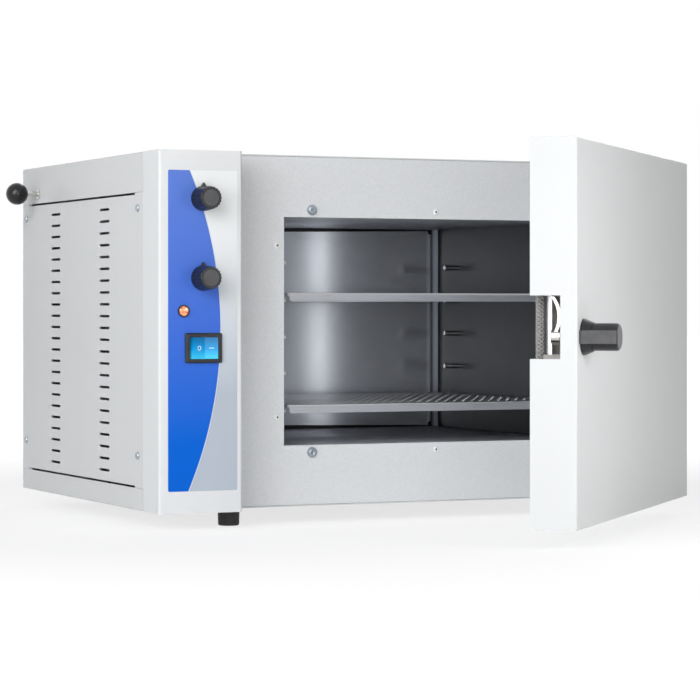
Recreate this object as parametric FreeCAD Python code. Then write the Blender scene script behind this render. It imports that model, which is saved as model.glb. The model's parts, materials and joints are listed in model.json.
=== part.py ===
import FreeCAD, Part
import math
import os

from FreeCAD import Vector

# Bench-top laboratory oven with a control box on the left, a side-hung door standing open on the right,
# two shelves on studs and a push-pull vent damper. Millimetres, +Z up, the front faces -Y. The origin is
# on the bench, midway between the feet.

# Casing of folded steel sheet
case_width = 548.0
case_depth = 368.0
case_height = 340.0
foot_height = 17.0
case_sheet = 1.2
fold_radius = 1.6
panel_gap = 0.3
cover_band = 38.0
base_band = 21.0
tray_flange = 24.0

# Slotted side panels
air_line = 1.8
air_line_inset = 22.0
slot_length = 30.0
slot_width = 2.5
slot_pitch = 11.6
slots_per_column = 23
lowest_slot = 33.4
slot_column_inset = 109.0
side_screw_inset = 13.0
lower_side_screw = 52.0
upper_side_screw_drop = 53.0
side_screw_length = 8.0

# Control box in front of the left end
control_width = 84.0
control_depth = 42.6
control_corner = 2.5
control_seam = 0.8
compartment_rim = 12.0
film_thickness = 0.3
film_left = 9.1
film_right_margin = 5.5
film_bottom = 20.8
film_corner = 1.5
film_top_margin = 19.0

# Chamber of stainless sheet
opening_left = 145.0
opening_right = 74.6
opening_bottom = 59.0
opening_top = 59.7
chamber_rear_space = 38.0
liner_sheet = 1.0
liner_flange = 14.0
liner_rear_space = 8.0
insulation_wall = 24.0
insulation_gap = 0.4
corner_strip = 7.0
back_gap_wide = 6.0
back_gap_narrow = 1.2
back_hole_radius = 2.5

# Shelf studs and shelves
stud_radius = 2.8
stud_length = 17.0
stud_tail_radius = 2.0
stud_chamfer = 0.5
stud_pitch = 36.2
stud_levels = 5
lowest_stud = 32.8
front_stud_inset = 36.0
rear_stud_inset = 56.0
shelf_sheet = 1.0
shelf_side_gap = 6.0
shelf_front_inset = 4.0
shelf_rear_gap = 30.0
shelf_lip = 8.3
shelf_lip_stud_gap = 1.5
shelf_lip_corner = 2.5
shelf_fold_radius = 0.6
shelf_hem_width = 12.0
shelf_hem_depth = 2.4
seat_gap = 0.3
lower_shelf_level = 0
upper_shelf_level = 3

# Rails that carry the chamber
rail_inset = 90.0
rail_width = 40.0
rail_foot = 12.0

# Tubular heater under the chamber floor
heater_radius = 4.0
heater_legs = 4
heater_first_leg = 75.0
heater_last_leg = 45.0
heater_turn_inset = 60.0
heater_recess = 13.0
heater_recess_front = 30.0
heater_recess_side = 12.0
heater_tail = 16.0

# Thermostat's sensing bulb behind the back wall, its capillary, and the wiring
bulb_radius = 3.0
bulb_length = 90.0
bulb_height = 91.0
bulb_start_depth = 10.0
capillary_radius = 0.9
capillary_aside = 12.0
capillary_first_bend = 24.0
capillary_dip = 20.0
capillary_level_from = 110.0
capillary_turn = 30.0
capillary_turn_aside = 14.0
wire_radius = 2.2
wire_bend = 9.0
wire_gap = 0.2
wire_rise = 5.0
wire_lift = 4.0
supply_level_to = 60.0
supply_low_from = 100.0
switch_wire_low_to = 24.0
heater_wire_aside = 11.0
heater_wire_drop = 40.0
heater_wire_end = 36.0
riser_setback = 22.0
riser_aside = 12.0
terminal_x = 40.0
terminal_y = 60.0
terminal_ways = 5
terminal_pitch = 9.0
terminal_depth = 18.0
terminal_base = 10.0
terminal_barrel = 5.0
terminal_bore = 1.8
terminal_wall = 1.0
terminal_step = 4.0
inlet_tab_reach = 29.0

# Vent duct and push-pull damper
vent_from_left = 190.0
vent_from_rear = 54.0
vent_bore = 13.0
vent_wall = 1.5
vent_flange = 6.0
vent_rise = 4.0
damper_rod_radius = 2.8
damper_rod_drop = 28.3
damper_ball_radius = 11.5
damper_ball_reach = 24.0
damper_push_in = 10.0
damper_plate_sheet = 1.5
damper_plate_lap = 0.4
damper_plate_length = 40.0
damper_plate_lift = 5.0
damper_relief = 0.6
damper_spigot_radius = 2.0
damper_fit_gap = 0.05
damper_nut_width = 7.0
damper_nut_height = 3.2
damper_bush_radius = 5.0
damper_bush_length = 9.0
damper_bush_step = 1.0
damper_bush_flange = 1.5
damper_running_gap = 0.08

# Knobs, lamp and switch on the control box
knob_radius = 11.75
knob_tip_radius = 10.6
knob_length = 22.0
knob_flutes = 20
flute_radius = 1.2
knob_cap_radius = 7.6
knob_cap_height = 0.8
knob_cap_gap = 0.1
pointer_reach = 3.2
pointer_width = 6.0
pointer_root = 1.6
knob_centre = 43.5
knob_stand_off = 0.5
knob_neck = 4.0
knob_chamfer = 0.8
knob_bore_share = 0.6
knob_cap_dome = 0.7
timer_drop = 45.3
thermostat_drop = 119.8
spindle_radius = 3.0
spindle_bush_radius = 5.0
spindle_running_gap = 0.06
control_rear_cap = 3.0
control_body_corner = 2.0
timer_depth = 26.0
timer_width = 46.0
thermostat_depth = 22.0
thermostat_width = 42.0
lamp_from_left = 24.5
lamp_drop = 150.7
lamp_radius = 5.85
lamp_body_radius = 4.8
lamp_body_length = 26.0
lamp_rim = 1.2
lamp_wall = 0.2
lens_gap = 0.1
lens_seat = 3.0
lens_side = 4.2
lens_shoulder = 5.0
lens_height = 5.4
switch_from_left = 44.2
switch_drop = 185.35
switch_bezel_width = 36.8
switch_bezel_height = 28.1
switch_bezel_depth = 3.0
switch_bezel_corner = 1.5
switch_bezel_chamfer = 1.2
switch_body_width = 30.0
switch_body_height = 22.0
switch_body_depth = 24.0
switch_tab_offset = 8.0
switch_tab_width = 6.4
tab_length = 8.0
tab_width = 6.0
tab_sheet = 0.8
rocker_aperture_width = 28.4
rocker_aperture_height = 20.8
rocker_well_depth = 10.0
rocker_half_width = 13.0
rocker_end_rise = 6.6
rocker_middle_rise = 4.4
rocker_bulge = 0.4
rocker_taper = 3.0
rocker_tail = 5.0
rocker_pivot_depth = 1.5
rocker_pivot_radius = 1.2
rocker_pivot_gap = 0.1
rocker_tilt = 8.0

# Door
door_side_gap = 1.0
door_rim_gap = 0.8
door_lip = 14.0
inner_panel_inset = 27.0
inner_panel_flange = 10.0
inner_panel_recess = 2.6
inner_panel_corner = 2.0
inner_panel_screw_inset = 12.0
screw_well_depth = 20.0
gasket_radius = 4.0
gasket_proud = 0.4
gasket_corner = 12.0
door_open_angle = 46.4

# Latch in the door's free edge
latch_inset = 24.0
latch_height = 167.0
notch_below = 19.0
notch_above = 36.0
notch_depth = 27.0
latch_shaft_radius = 4.0
latch_running_gap = 0.06
latch_bush_radius = 8.0
latch_bush_step = 2.0
latch_bush_collar = 0.2
latch_bush_short = 4.0
latch_hub_radius = 7.5
latch_hub_setback = 14.0
latch_hub_length = 8.0
latch_arm_length = 35.0
latch_arm_width = 12.0
latch_arm_sheet = 3.0
latch_arm_bow = 6.0
latch_arm_play = 0.6
striker_plate = 2.5
striker_screw_inset = 8.0
lower_striker_screw = 8.0
upper_striker_screw = 22.0
striker_front_inset = 3.0
striker_rear_inset = 4.0
striker_rim = 10.0
striker_below = 2.0
striker_above = 12.0
striker_slot_inset = 8.0
striker_slot_low = 6.0
striker_slot_high = 4.0
skirt_radius = 16.0
skirt_height = 9.0
skirt_rim = 1.6
skirt_ledge = 0.8
grip_radius = 12.0
grip_length = 32.0
grip_chamfer = 1.5
grip_bore_share = 0.6
rib_width = 11.5
rib_proud = 2.2
rib_seat = 3.0
rib_skirt_proud = 1.0
rib_stand_off = 0.6
rib_rim = 2.4

# Hinges on the right-hand side
knuckle_radius = 4.5
knuckle_gap = 0.3
hinge_leaf_sheet = 2.0
hinge_pin_radius = 2.5
hinge_running_gap = 0.05
hinge_height = 60.0
hinge_leaf = 30.0
hinge_inset = 55.0
hinge_screw_length = 6.0
hinge_pin_head = 0.8

# Feet, fasteners and electrical parts
foot_inset_x = 93.0
foot_inset_y = 14.0
foot_radius = 10.7
foot_base_radius = 9.8
foot_recess_radius = 6.0
foot_recess_depth = 9.0
foot_screw_reach = 5.0
foot_rim_chamfer = 1.0
screw_radius = 1.75
screw_hole_gap = 0.15
screw_head_radius = 3.6
screw_head_height = 2.2
rivet_head_radius = 3.1
rivet_head_height = 1.2
rivet_radius = 1.6
rivet_core_radius = 0.9
rivet_tail = 2.0
flange_screw_radius = 2.4
flange_screw_length = 9.0
flange_screw_head_radius = 4.2
flange_screw_head_height = 2.4
washer_radius = 5.2
washer_thickness = 1.0
inlet_flange_width = 50.0
inlet_flange_height = 25.0
inlet_flange_sheet = 2.5
inlet_flange_corner = 6.0
inlet_body_width = 28.0
inlet_body_height = 20.5
inlet_body_depth = 20.0
inlet_recess_width = 24.6
inlet_recess_height = 16.4
inlet_recess_depth = 16.0
inlet_recess_chamfer = 4.0
inlet_mouth = 3.0
blade_spacing = 7.0
blade_low = -2.0
blade_high = 3.2
blade_thickness = 2.0
blade_width = 4.0
blade_setback = 2.0
inlet_from_left = 62.0
inlet_height = 48.0
inlet_screw_span = 40.0
inlet_screw_length = 9.0

left = -case_width / 2
right = case_width / 2
front = -case_depth / 2
rear = case_depth / 2
base = foot_height
top = base + case_height
control_face = front - control_depth
chamber_left = left + opening_left
chamber_right = right - opening_right
opening_width = chamber_right - chamber_left
chamber_floor = base + opening_bottom
chamber_roof = top - opening_top
opening_height = chamber_roof - chamber_floor
chamber_back = rear - chamber_rear_space
liner_back = chamber_back + liner_rear_space
heater_run = chamber_back - heater_last_leg - front - heater_first_leg
heater_pitch = heater_run / (heater_legs - 1)
door_left = left + control_width + door_side_gap
door_right = right
door_face = control_face
door_rim = front - door_rim_gap
hinge_x = right + knuckle_gap + knuckle_radius
hinge_y = door_rim
latch_x = door_left + latch_inset
latch_z = base + latch_height
notch_low = latch_z - notch_below
notch_high = latch_z + notch_above
vent_x = left + vent_from_left
vent_y = rear - vent_from_rear
rod_z = top - damper_rod_drop
knob_x = left + knob_centre
timer_z = top - timer_drop
thermostat_z = top - thermostat_drop
lamp_x = left + lamp_from_left
lamp_z = top - lamp_drop
switch_x = left + switch_from_left
switch_z = top - switch_drop
knob_back = control_face - film_thickness - knob_stand_off
hole_radius = screw_radius + screw_hole_gap

X = Vector(1, 0, 0)
Y = Vector(0, 1, 0)
Z = Vector(0, 0, 1)


def block(x0, x1, y0, y1, z0, z1):
    """A box between two corners."""
    return Part.makeBox(x1 - x0, y1 - y0, z1 - z0, Vector(x0, y0, z0))


def rod(start, axis, radius, length):
    """A cylinder from a point along an axis."""
    return Part.makeCylinder(radius, length, start, axis)


def edges_along(shape, axis, keep):
    """The shape's straight edges along an axis whose middle point satisfies keep."""
    found = []
    for edge in shape.Edges:
        if isinstance(edge.Curve, Part.Line) and abs(edge.Curve.Direction.dot(axis)) > 0.999:
            if keep(edge.CenterOfMass):
                found.append(edge)
    return found


def polygon_prism(points, sweep):
    """A prism on a closed polygon of points."""
    corners = [Vector(*point) for point in points]
    return Part.Face(Part.makePolygon(corners + corners[:1])).extrude(sweep)


def turned(profile, centre, axis):
    """A solid of revolution: profile lists (radius, height) pairs, height running along the axis."""
    points = [Vector(radius, 0, height) for radius, height in profile]
    solid = Part.Face(Part.makePolygon(points + points[:1])).revolve(Vector(), Z, 360)
    solid = Part.makeSolid(solid) if solid.ShapeType == "Shell" else solid
    solid.Placement = FreeCAD.Placement(centre, FreeCAD.Rotation(Z, axis))
    return solid


def stadium(length, width, depth, centre, along, through):
    """A slot-shaped cutter with round ends."""
    run = (length - width) / 2
    side = through.cross(along)
    a = centre - along * run
    b = centre + along * run
    half = side * (width / 2)
    wire = Part.Wire([
        Part.LineSegment(a - half, b - half).toShape(),
        Part.Arc(b - half, b + along * (width / 2), b + half).toShape(),
        Part.LineSegment(b + half, a + half).toShape(),
        Part.Arc(a + half, a - along * (width / 2), a - half).toShape(),
    ])
    cutter = Part.Face(wire).extrude(through * depth)
    cutter.translate(through * (-depth / 2))
    return cutter


def pan_screw(point, axis, length, radius=screw_radius, head=screw_head_radius, height=screw_head_height):
    """A domed screw whose head stands on the point, axis pointing out of the sheet."""
    screw = turned([(0, -length), (radius, -length), (radius, 0), (head, 0),
                    (head, height * 0.45), (head * 0.72, height), (0, height)], point, axis)
    return screw


def save(name, shape):
    """Writes one node."""
    shape.exportStep("parts/" + name + ".step")


def feet_places():
    """(x, y) of the four feet."""
    return [(x, y) for x in (left + foot_inset_x, right - foot_inset_x)
            for y in (front + foot_inset_y, rear - foot_inset_y)]


def side_screw_places(side):
    """(y, z) of a side panel's screws. On the right, the hinges hold the front edge instead."""
    rows = (front + side_screw_inset, rear - side_screw_inset) if side < 0 else (rear - side_screw_inset,)
    return [(y, z) for y in rows for z in (base + lower_side_screw, top - upper_side_screw_drop)]


def rivet_places():
    """(x, z) of the blind rivets round the chamber opening."""
    out = liner_flange / 2
    middle = (chamber_left + chamber_right) / 2
    quarter = opening_height * 0.125
    return [(chamber_left - out, chamber_roof - quarter), (chamber_left - out, chamber_floor + quarter),
            (chamber_right + out, chamber_roof - quarter), (chamber_right + out, chamber_floor + quarter),
            (middle, chamber_roof + out), (middle, chamber_floor - out)]


def flange_screw_places():
    """(x, z) of the screws that hang the liner on the front panel."""
    out = liner_flange / 2
    inset = opening_width * 0.09
    return [(x, z) for x in (chamber_left + inset, chamber_right - inset)
            for z in (chamber_floor - out, chamber_roof + out)]


def hinge_middles():
    """Heights of the two hinges."""
    return [("lower", base + hinge_inset), ("upper", top - hinge_inset)]


def hinge_screw_heights(middle):
    return [middle - hinge_height / 3, middle + hinge_height / 3]


def case_hinge_places():
    """(y, z) of the screws that hold the hinge leaves to the casing's right side."""
    y = front + hinge_leaf * 0.6
    return [(y, z) for _, middle in hinge_middles() for z in hinge_screw_heights(middle)]


def case_hinge_holes():
    """Cutters through the hinge leaves and everything behind them on the casing."""
    x = right + hinge_leaf_sheet + 1
    deep = 8 * case_sheet
    return [rod(Vector(x, y, z), -X, hole_radius, deep) for y, z in case_hinge_places()]


def swing(shape):
    """Carries a piece drawn on the closed door to the open rest pose."""
    shape.rotate(Vector(hinge_x, hinge_y, 0), Z, door_open_angle)
    return shape


def top_cover():
    cover = block(left, right, front, rear, top - cover_band, top)
    cover = cover.makeFillet(fold_radius, edges_along(cover, Y, lambda p: p.z > top - 1))
    cover = cover.cut(block(left + case_sheet, right - case_sheet, front, rear,
                            top - cover_band, top - case_sheet))
    vent_hole = rod(Vector(vent_x, vent_y, top - 2 * case_sheet), Z,
                    vent_bore + vent_wall + panel_gap, 3 * case_sheet)
    bush_hole = rod(Vector(left - case_sheet, vent_y, rod_z), X,
                    damper_bush_radius - damper_bush_step + panel_gap, 3 * case_sheet)
    return cover.cut([vent_hole, bush_hole] + case_hinge_holes())


def base_pan():
    pan = block(left, right, front, rear, base, base + base_band)
    pan = pan.makeFillet(fold_radius, edges_along(pan, Y, lambda p: p.z < base + 1))
    pan = pan.cut(block(left + case_sheet, right - case_sheet, front, rear,
                        base + case_sheet, base + base_band))
    holes = [rod(Vector(x, y, base - 1), Z, hole_radius, 3 * case_sheet) for x, y in feet_places()]
    return pan.cut(holes)


def side_panel(x_outer, inward, slotted):
    """One side of the casing, lying between the cover's and the base's bands."""
    low = base + base_band + panel_gap
    high = top - cover_band - panel_gap
    x0, x1 = sorted((x_outer, x_outer + inward * case_sheet))
    panel = block(x0, x1, front, rear, low, high)
    y0, y1 = front + air_line_inset, rear - air_line_inset
    cutters = [block(x0 - 1, x1 + 1, y0, y1, high - air_line, high + 1),
               block(x0 - 1, x1 + 1, y0, y1, low - 1, low + air_line)]
    cutters += [rod(Vector(x0 - 1, y, z), X, hole_radius, case_sheet + 2)
                for y, z in side_screw_places(-inward)]
    if slotted:
        for y in (front + slot_column_inset, rear - slot_column_inset):
            for row in range(slots_per_column):
                z = base + lowest_slot + row * slot_pitch
                cutters.append(stadium(slot_length, slot_width, 4 * case_sheet,
                                       Vector((x0 + x1) / 2, y, z), Y, X))
    if inward < 0:
        cutters += case_hinge_holes()
    return panel.cut(cutters)


def tray(y_face, depth):
    """A sheet closing one end of the casing, with four flanges folded inwards."""
    inset = case_sheet + panel_gap
    y0, y1 = sorted((y_face, y_face + depth))
    outer = block(left + inset, right - inset, y0, y1, base + inset, top - inset)
    inset += case_sheet
    step = case_sheet if depth > 0 else -case_sheet
    y0, y1 = sorted((y_face + step, y_face + depth))
    return outer.cut(block(left + inset, right - inset, y0, y1, base + inset, top - inset))


def tray_holes():
    """Cutters through a tray's flanges for the side panels' and the feet's screws."""
    deep = 3 * case_sheet
    cutters = [rod(Vector(left - 1, y, z), X, hole_radius, deep + 1) for y, z in side_screw_places(-1)]
    cutters += [rod(Vector(right + 1, y, z), -X, hole_radius, deep + 1) for y, z in side_screw_places(1)]
    cutters += [rod(Vector(x, y, base - 1), Z, hole_radius, deep + 1) for x, y in feet_places()]
    return cutters


def front_panel():
    panel = tray(front, tray_flange)
    y = front - 1
    deep = case_sheet + 2
    rim = compartment_rim
    cutters = [block(chamber_left, chamber_right, y, y + deep, chamber_floor, chamber_roof),
               block(left + rim, left + control_width - rim, y, y + deep, base + 2 * rim, top - 2 * rim)]
    cutters += [rod(Vector(x, y, z), Y, rivet_radius + screw_hole_gap, deep) for x, z in rivet_places()]
    cutters += [rod(Vector(x, y, z), Y, flange_screw_radius + screw_hole_gap, deep)
                for x, z in flange_screw_places()]
    return panel.cut(cutters + tray_holes() + case_hinge_holes())


def inlet_place():
    return Vector(left + inlet_from_left, rear, base + inlet_height)


def rear_panel():
    panel = tray(rear, -tray_flange)
    at = inlet_place()
    half_w, half_h = inlet_body_width / 2 + panel_gap, inlet_body_height / 2 + panel_gap
    cutters = [block(at.x - half_w, at.x + half_w, rear - 2 * case_sheet, rear + 1,
                     at.z - half_h, at.z + half_h)]
    for side in (-1, 1):
        cutters.append(rod(Vector(at.x + side * inlet_screw_span / 2, rear + 1, at.z), -Y, hole_radius, 5))
    return panel.cut(cutters + tray_holes())


def control_face_cuts():
    """Cutters for the controls, used by the control box and by its film."""
    y = control_face - 2 * case_sheet
    deep = 6 * case_sheet
    cutters = [rod(Vector(knob_x, y, z), Y, spindle_bush_radius + panel_gap, deep)
               for z in (timer_z, thermostat_z)]
    cutters.append(rod(Vector(lamp_x, y, lamp_z), Y, lamp_body_radius + panel_gap, deep))
    half_w, half_h = switch_body_width / 2 + panel_gap, switch_body_height / 2 + panel_gap
    cutters.append(block(switch_x - half_w, switch_x + half_w, y, y + deep,
                         switch_z - half_h, switch_z + half_h))
    return cutters


def control_box():
    """A folded box with an open back. Its middle stretch meets the side panel, the ends leave a seam."""
    wall_right = left + control_width
    box = block(left, wall_right, control_face, front, base, top)
    rounded = edges_along(box, Z, lambda p: p.y < control_face + 1)
    box = box.makeFillet(control_corner, rounded)
    box = box.cut(block(left + case_sheet, wall_right - case_sheet, control_face + case_sheet, front + 1,
                        base + case_sheet, top - case_sheet))
    low = base + base_band + panel_gap
    high = top - cover_band - panel_gap
    seams = [block(left - 1, wall_right + 1, front - control_seam, front + 1, base - 1, low),
             block(left - 1, wall_right + 1, front - control_seam, front + 1, high, top + 1)]
    slot = block(wall_right - 3 * case_sheet, wall_right + 1, door_rim - notch_depth,
                 front - striker_slot_inset, notch_low + striker_slot_low, notch_high + striker_slot_high)
    screws = [rod(Vector(wall_right - 5, y, z), X, hole_radius, 10) for y, z in striker_screws()]
    return box.cut(seams + [slot] + screws + control_face_cuts())


def control_film():
    film = block(left + film_left, left + control_width - film_right_margin, control_face - film_thickness,
                 control_face, base + film_bottom, top - film_top_margin)
    film = film.makeFillet(film_corner, edges_along(film, Y, lambda p: True))
    return film.cut(control_face_cuts())


def liner_outer(clearance):
    """The liner's outside, grown by a clearance."""
    grow = liner_sheet + clearance
    return block(chamber_left - grow, chamber_right + grow, front + case_sheet, liner_back + grow,
                 chamber_floor - grow, chamber_roof + grow)


def stud_places():
    """(x of the wall, direction into the chamber, y, z) of every shelf stud."""
    places = []
    for level in range(stud_levels):
        z = chamber_floor + lowest_stud + level * stud_pitch
        for y in (front + front_stud_inset, chamber_back - rear_stud_inset):
            places.append((chamber_left, 1, y, z))
            places.append((chamber_right, -1, y, z))
    return places


def chamber_liner():
    liner = liner_outer(0)
    y0 = front + case_sheet
    liner = liner.fuse(block(chamber_left - liner_flange, chamber_right + liner_flange, y0, y0 + liner_sheet,
                             chamber_floor - liner_flange, chamber_roof + liner_flange))
    liner = liner.cut(block(chamber_left, chamber_right, y0 - 1, liner_back, chamber_floor, chamber_roof))
    cutters = [rod(Vector(vent_x, vent_y, chamber_roof - 1), Z, vent_bore, 4)]
    for x, inward, y, z in stud_places():
        out = Vector(-inward, 0, 0)
        cutters.append(rod(Vector(x + inward, y, z), out, stud_tail_radius, liner_sheet + 2))
    cutters += [rod(Vector(x, y0 - 1, z), Y, rivet_radius + screw_hole_gap, 4) for x, z in rivet_places()]
    cutters += [rod(Vector(x, y0 - 1, z), Y, flange_screw_radius + screw_hole_gap, 4)
                for x, z in flange_screw_places()]
    cutters.append(rod(bulb_start(), X, bulb_radius + screw_hole_gap, bulb_start_depth + 1))
    return liner.cut(cutters).removeSplitter()


def chamber_back_wall():
    """The back sheet with a slanted strip at each side and air gaps that taper along its top and bottom."""
    t = liner_sheet
    gap = seat_gap
    x0, x1 = chamber_left + gap, chamber_right - gap
    y = chamber_back
    s = corner_strip
    low, high = chamber_floor + gap, chamber_roof - gap
    skew = t * math.tan(math.pi / 8)
    outline = [(x0, y - s, low), (x0 + s, y, low), (x1 - s, y, low), (x1, y - s, low),
               (x1, y - s + t / math.sin(math.pi / 4), low), (x1 - s + skew, y + t, low),
               (x0 + s - skew, y + t, low), (x0, y - s + t / math.sin(math.pi / 4), low)]
    wall = polygon_prism(outline, Vector(0, 0, high - low))
    flat0, flat1 = x0 + s, x1 - s
    cutters = []
    for edge, inward in ((high, -1), (low, 1)):
        wedge = [(flat0, y - 1, edge - inward), (flat1, y - 1, edge - inward),
                 (flat1, y - 1, edge + inward * back_gap_narrow),
                 (flat0, y - 1, edge + inward * back_gap_wide)]
        cutters.append(polygon_prism(wedge, Vector(0, t + 2, 0)))
        centre = Vector(flat1, y - 2, edge + inward * back_hole_radius)
        cutters.append(rod(centre, Y, back_hole_radius, t + 4))
    return wall.cut(cutters)


def shelf_studs():
    """Turned studs, each with a reduced tail pressed through the liner wall."""
    studs = []
    for x, inward, y, z in stud_places():
        profile = [(0, -liner_sheet), (stud_tail_radius, -liner_sheet), (stud_tail_radius, 0),
                   (stud_radius, 0), (stud_radius, stud_length - stud_chamfer),
                   (stud_radius - stud_chamfer, stud_length), (0, stud_length)]
        studs.append(turned(profile, Vector(x, y, z), Vector(inward, 0, 0)))
    return Part.makeCompound(studs)


def shelf(level):
    """A shelf with hemmed sides that ride on the studs and a folded lip at the front and the rear.

    The rear lip is short at both ends, so that it passes between the studs when the shelf is drawn out.
    """
    underside = chamber_floor + lowest_stud + level * stud_pitch + stud_radius + seat_gap
    plate_low = underside + shelf_hem_depth
    plate_high = plate_low + shelf_sheet
    x0, x1 = chamber_left + shelf_side_gap, chamber_right - shelf_side_gap
    y0 = front + shelf_front_inset
    y1 = chamber_back - shelf_rear_gap
    plate = block(x0, x1, y0, y1, plate_low, plate_high)
    pieces = []
    past_studs = stud_length - shelf_side_gap + shelf_lip_stud_gap
    for y, short in ((y0, 0.0), (y1 - shelf_sheet, past_studs)):
        lip = block(x0 + short, x1 - short, y, y + shelf_sheet, plate_high - shelf_lip, plate_low)
        pieces.append(lip.makeFillet(shelf_lip_corner, edges_along(lip, Y, lambda p: p.z < plate_low - 1)))
    for x in (x0, x1 - shelf_hem_width):
        pieces.append(block(x, x + shelf_hem_width, y0 + shelf_sheet, y1 - shelf_sheet, underside, plate_low))
    tray_shape = plate.fuse(pieces).removeSplitter()
    front_corners = edges_along(tray_shape, X, lambda p: p.y < y0 + 0.1 and p.z > plate_high - 0.1)
    return tray_shape.makeFillet(shelf_fold_radius, front_corners)


def chamber_insulation():
    """Fibre board round the liner, with a recess under the floor for the heater."""
    grow = liner_sheet + insulation_gap + insulation_wall
    y0 = front + case_sheet + liner_sheet + panel_gap
    board = block(chamber_left - grow, chamber_right + grow, y0, rear - case_sheet - panel_gap,
                  chamber_floor - grow - heater_recess, chamber_roof + grow)
    cutters = [liner_outer(insulation_gap)]
    floor_z = chamber_floor - liner_sheet - insulation_gap
    cutters.append(block(chamber_left + heater_recess_side, chamber_right - heater_recess_side,
                         front + heater_recess_front, chamber_back, floor_z - heater_recess, floor_z + 1))
    cutters.append(rod(Vector(vent_x, vent_y, chamber_roof), Z,
                       vent_bore + vent_wall + vent_flange + 1, 2 * grow))
    for leg in (0, heater_legs - 1):
        cutters.append(rod(Vector(chamber_left - 2 * grow, heater_leg_y(leg), heater_z()), X,
                           heater_radius + insulation_gap, 2 * grow + 20))
    cutters.append(rod(bulb_start() - X * grow, X, bulb_radius + insulation_gap, 2 * grow))
    cutters += [rod(Vector(x, y0 - 1, z), Y, flange_screw_radius + 1, 12) for x, z in flange_screw_places()]
    cutters += [rod(Vector(x, y0 - 1, z), Y, rivet_radius + 1, 5) for x, z in rivet_places()]
    plate_half = vent_bore + damper_plate_lap + damper_relief
    cutters.append(block(left, vent_x, vent_y - plate_half, vent_y + plate_half,
                         rod_z - damper_plate_lift - damper_relief, top))
    return board.cut(cutters)


def heater_z():
    return chamber_floor - liner_sheet - insulation_gap - heater_recess / 2


def heater_leg_y(leg):
    return front + heater_first_leg + leg * heater_pitch


def heater_end_x():
    """Where the heater's ends stop in the control compartment."""
    return chamber_left - liner_sheet - insulation_gap - insulation_wall - heater_tail


def heating_element():
    """One tube bent to and fro, both ends leaving towards the control compartment."""
    z = heater_z()
    outside = heater_end_x()
    near, far = chamber_left + heater_turn_inset, chamber_right - heater_turn_inset
    turn = heater_pitch / 2
    edges = []
    x = outside
    for leg in range(heater_legs):
        y = heater_leg_y(leg)
        end = far if leg % 2 == 0 else (outside if leg == heater_legs - 1 else near)
        edges.append(Part.LineSegment(Vector(x, y, z), Vector(end, y, z)).toShape())
        if leg < heater_legs - 1:
            out = turn if leg % 2 == 0 else -turn
            edges.append(Part.Arc(Vector(end, y, z), Vector(end + out, y + turn, z),
                                  Vector(end, y + heater_pitch, z)).toShape())
        x = end
    path = Part.Wire(edges)
    section = Part.Wire([Part.makeCircle(heater_radius, Vector(outside, heater_leg_y(0), z), X)])
    return path.makePipeShell([section], True, True)


def bulb_start():
    return Vector(chamber_left - bulb_start_depth, chamber_back + liner_rear_space / 2,
                  chamber_floor + bulb_height)


def thermostat_bulb():
    """The sensing bulb, lying behind the back wall and leaving through the liner's left wall."""
    tip = 1.0
    profile = [(0, 0), (bulb_radius, 0), (bulb_radius, bulb_length - tip), (bulb_radius - tip, bulb_length),
               (0, bulb_length)]
    return turned(profile, bulb_start(), X)


def tube(points, radius, bend):
    """A tube along straight runs joined by tangent arcs."""
    runs = []
    start = points[0]
    for before, corner, after in zip(points, points[1:], points[2:]):
        u = (corner - before).normalize()
        v = (after - corner).normalize()
        half_turn = u.getAngle(v) / 2
        reach = bend * math.tan(half_turn)
        a, b = corner - u * reach, corner + v * reach
        inwards = (v - u).normalize()
        middle = corner + inwards * (bend / math.cos(half_turn) - bend)
        runs.append(Part.LineSegment(start, a).toShape())
        runs.append(Part.Arc(a, middle, b).toShape())
        start = b
    runs.append(Part.LineSegment(start, points[-1]).toShape())
    first = (points[1] - points[0]).normalize()
    section = Part.Wire([Part.makeCircle(radius, points[0], first)])
    return Part.Wire(runs).makePipeShell([section], True, True)


def capillary():
    """The thin tube from the thermostat body round to the sensing bulb."""
    begin = Vector(knob_x, control_back(thermostat_depth), thermostat_z)
    end = bulb_start()
    aside = left + control_width + capillary_aside
    points = [begin, Vector(knob_x, front + capillary_first_bend, begin.z),
              Vector(aside, front + 2.5 * capillary_first_bend, begin.z - capillary_dip),
              Vector(aside, front + capillary_level_from, end.z),
              Vector(aside, end.y - capillary_turn, end.z),
              Vector(aside + capillary_turn_aside, end.y, end.z), end]
    return tube(points, capillary_radius, wire_bend)


def control_back(depth):
    """How far back a control's body reaches."""
    return control_face + case_sheet + depth + control_rear_cap


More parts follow.
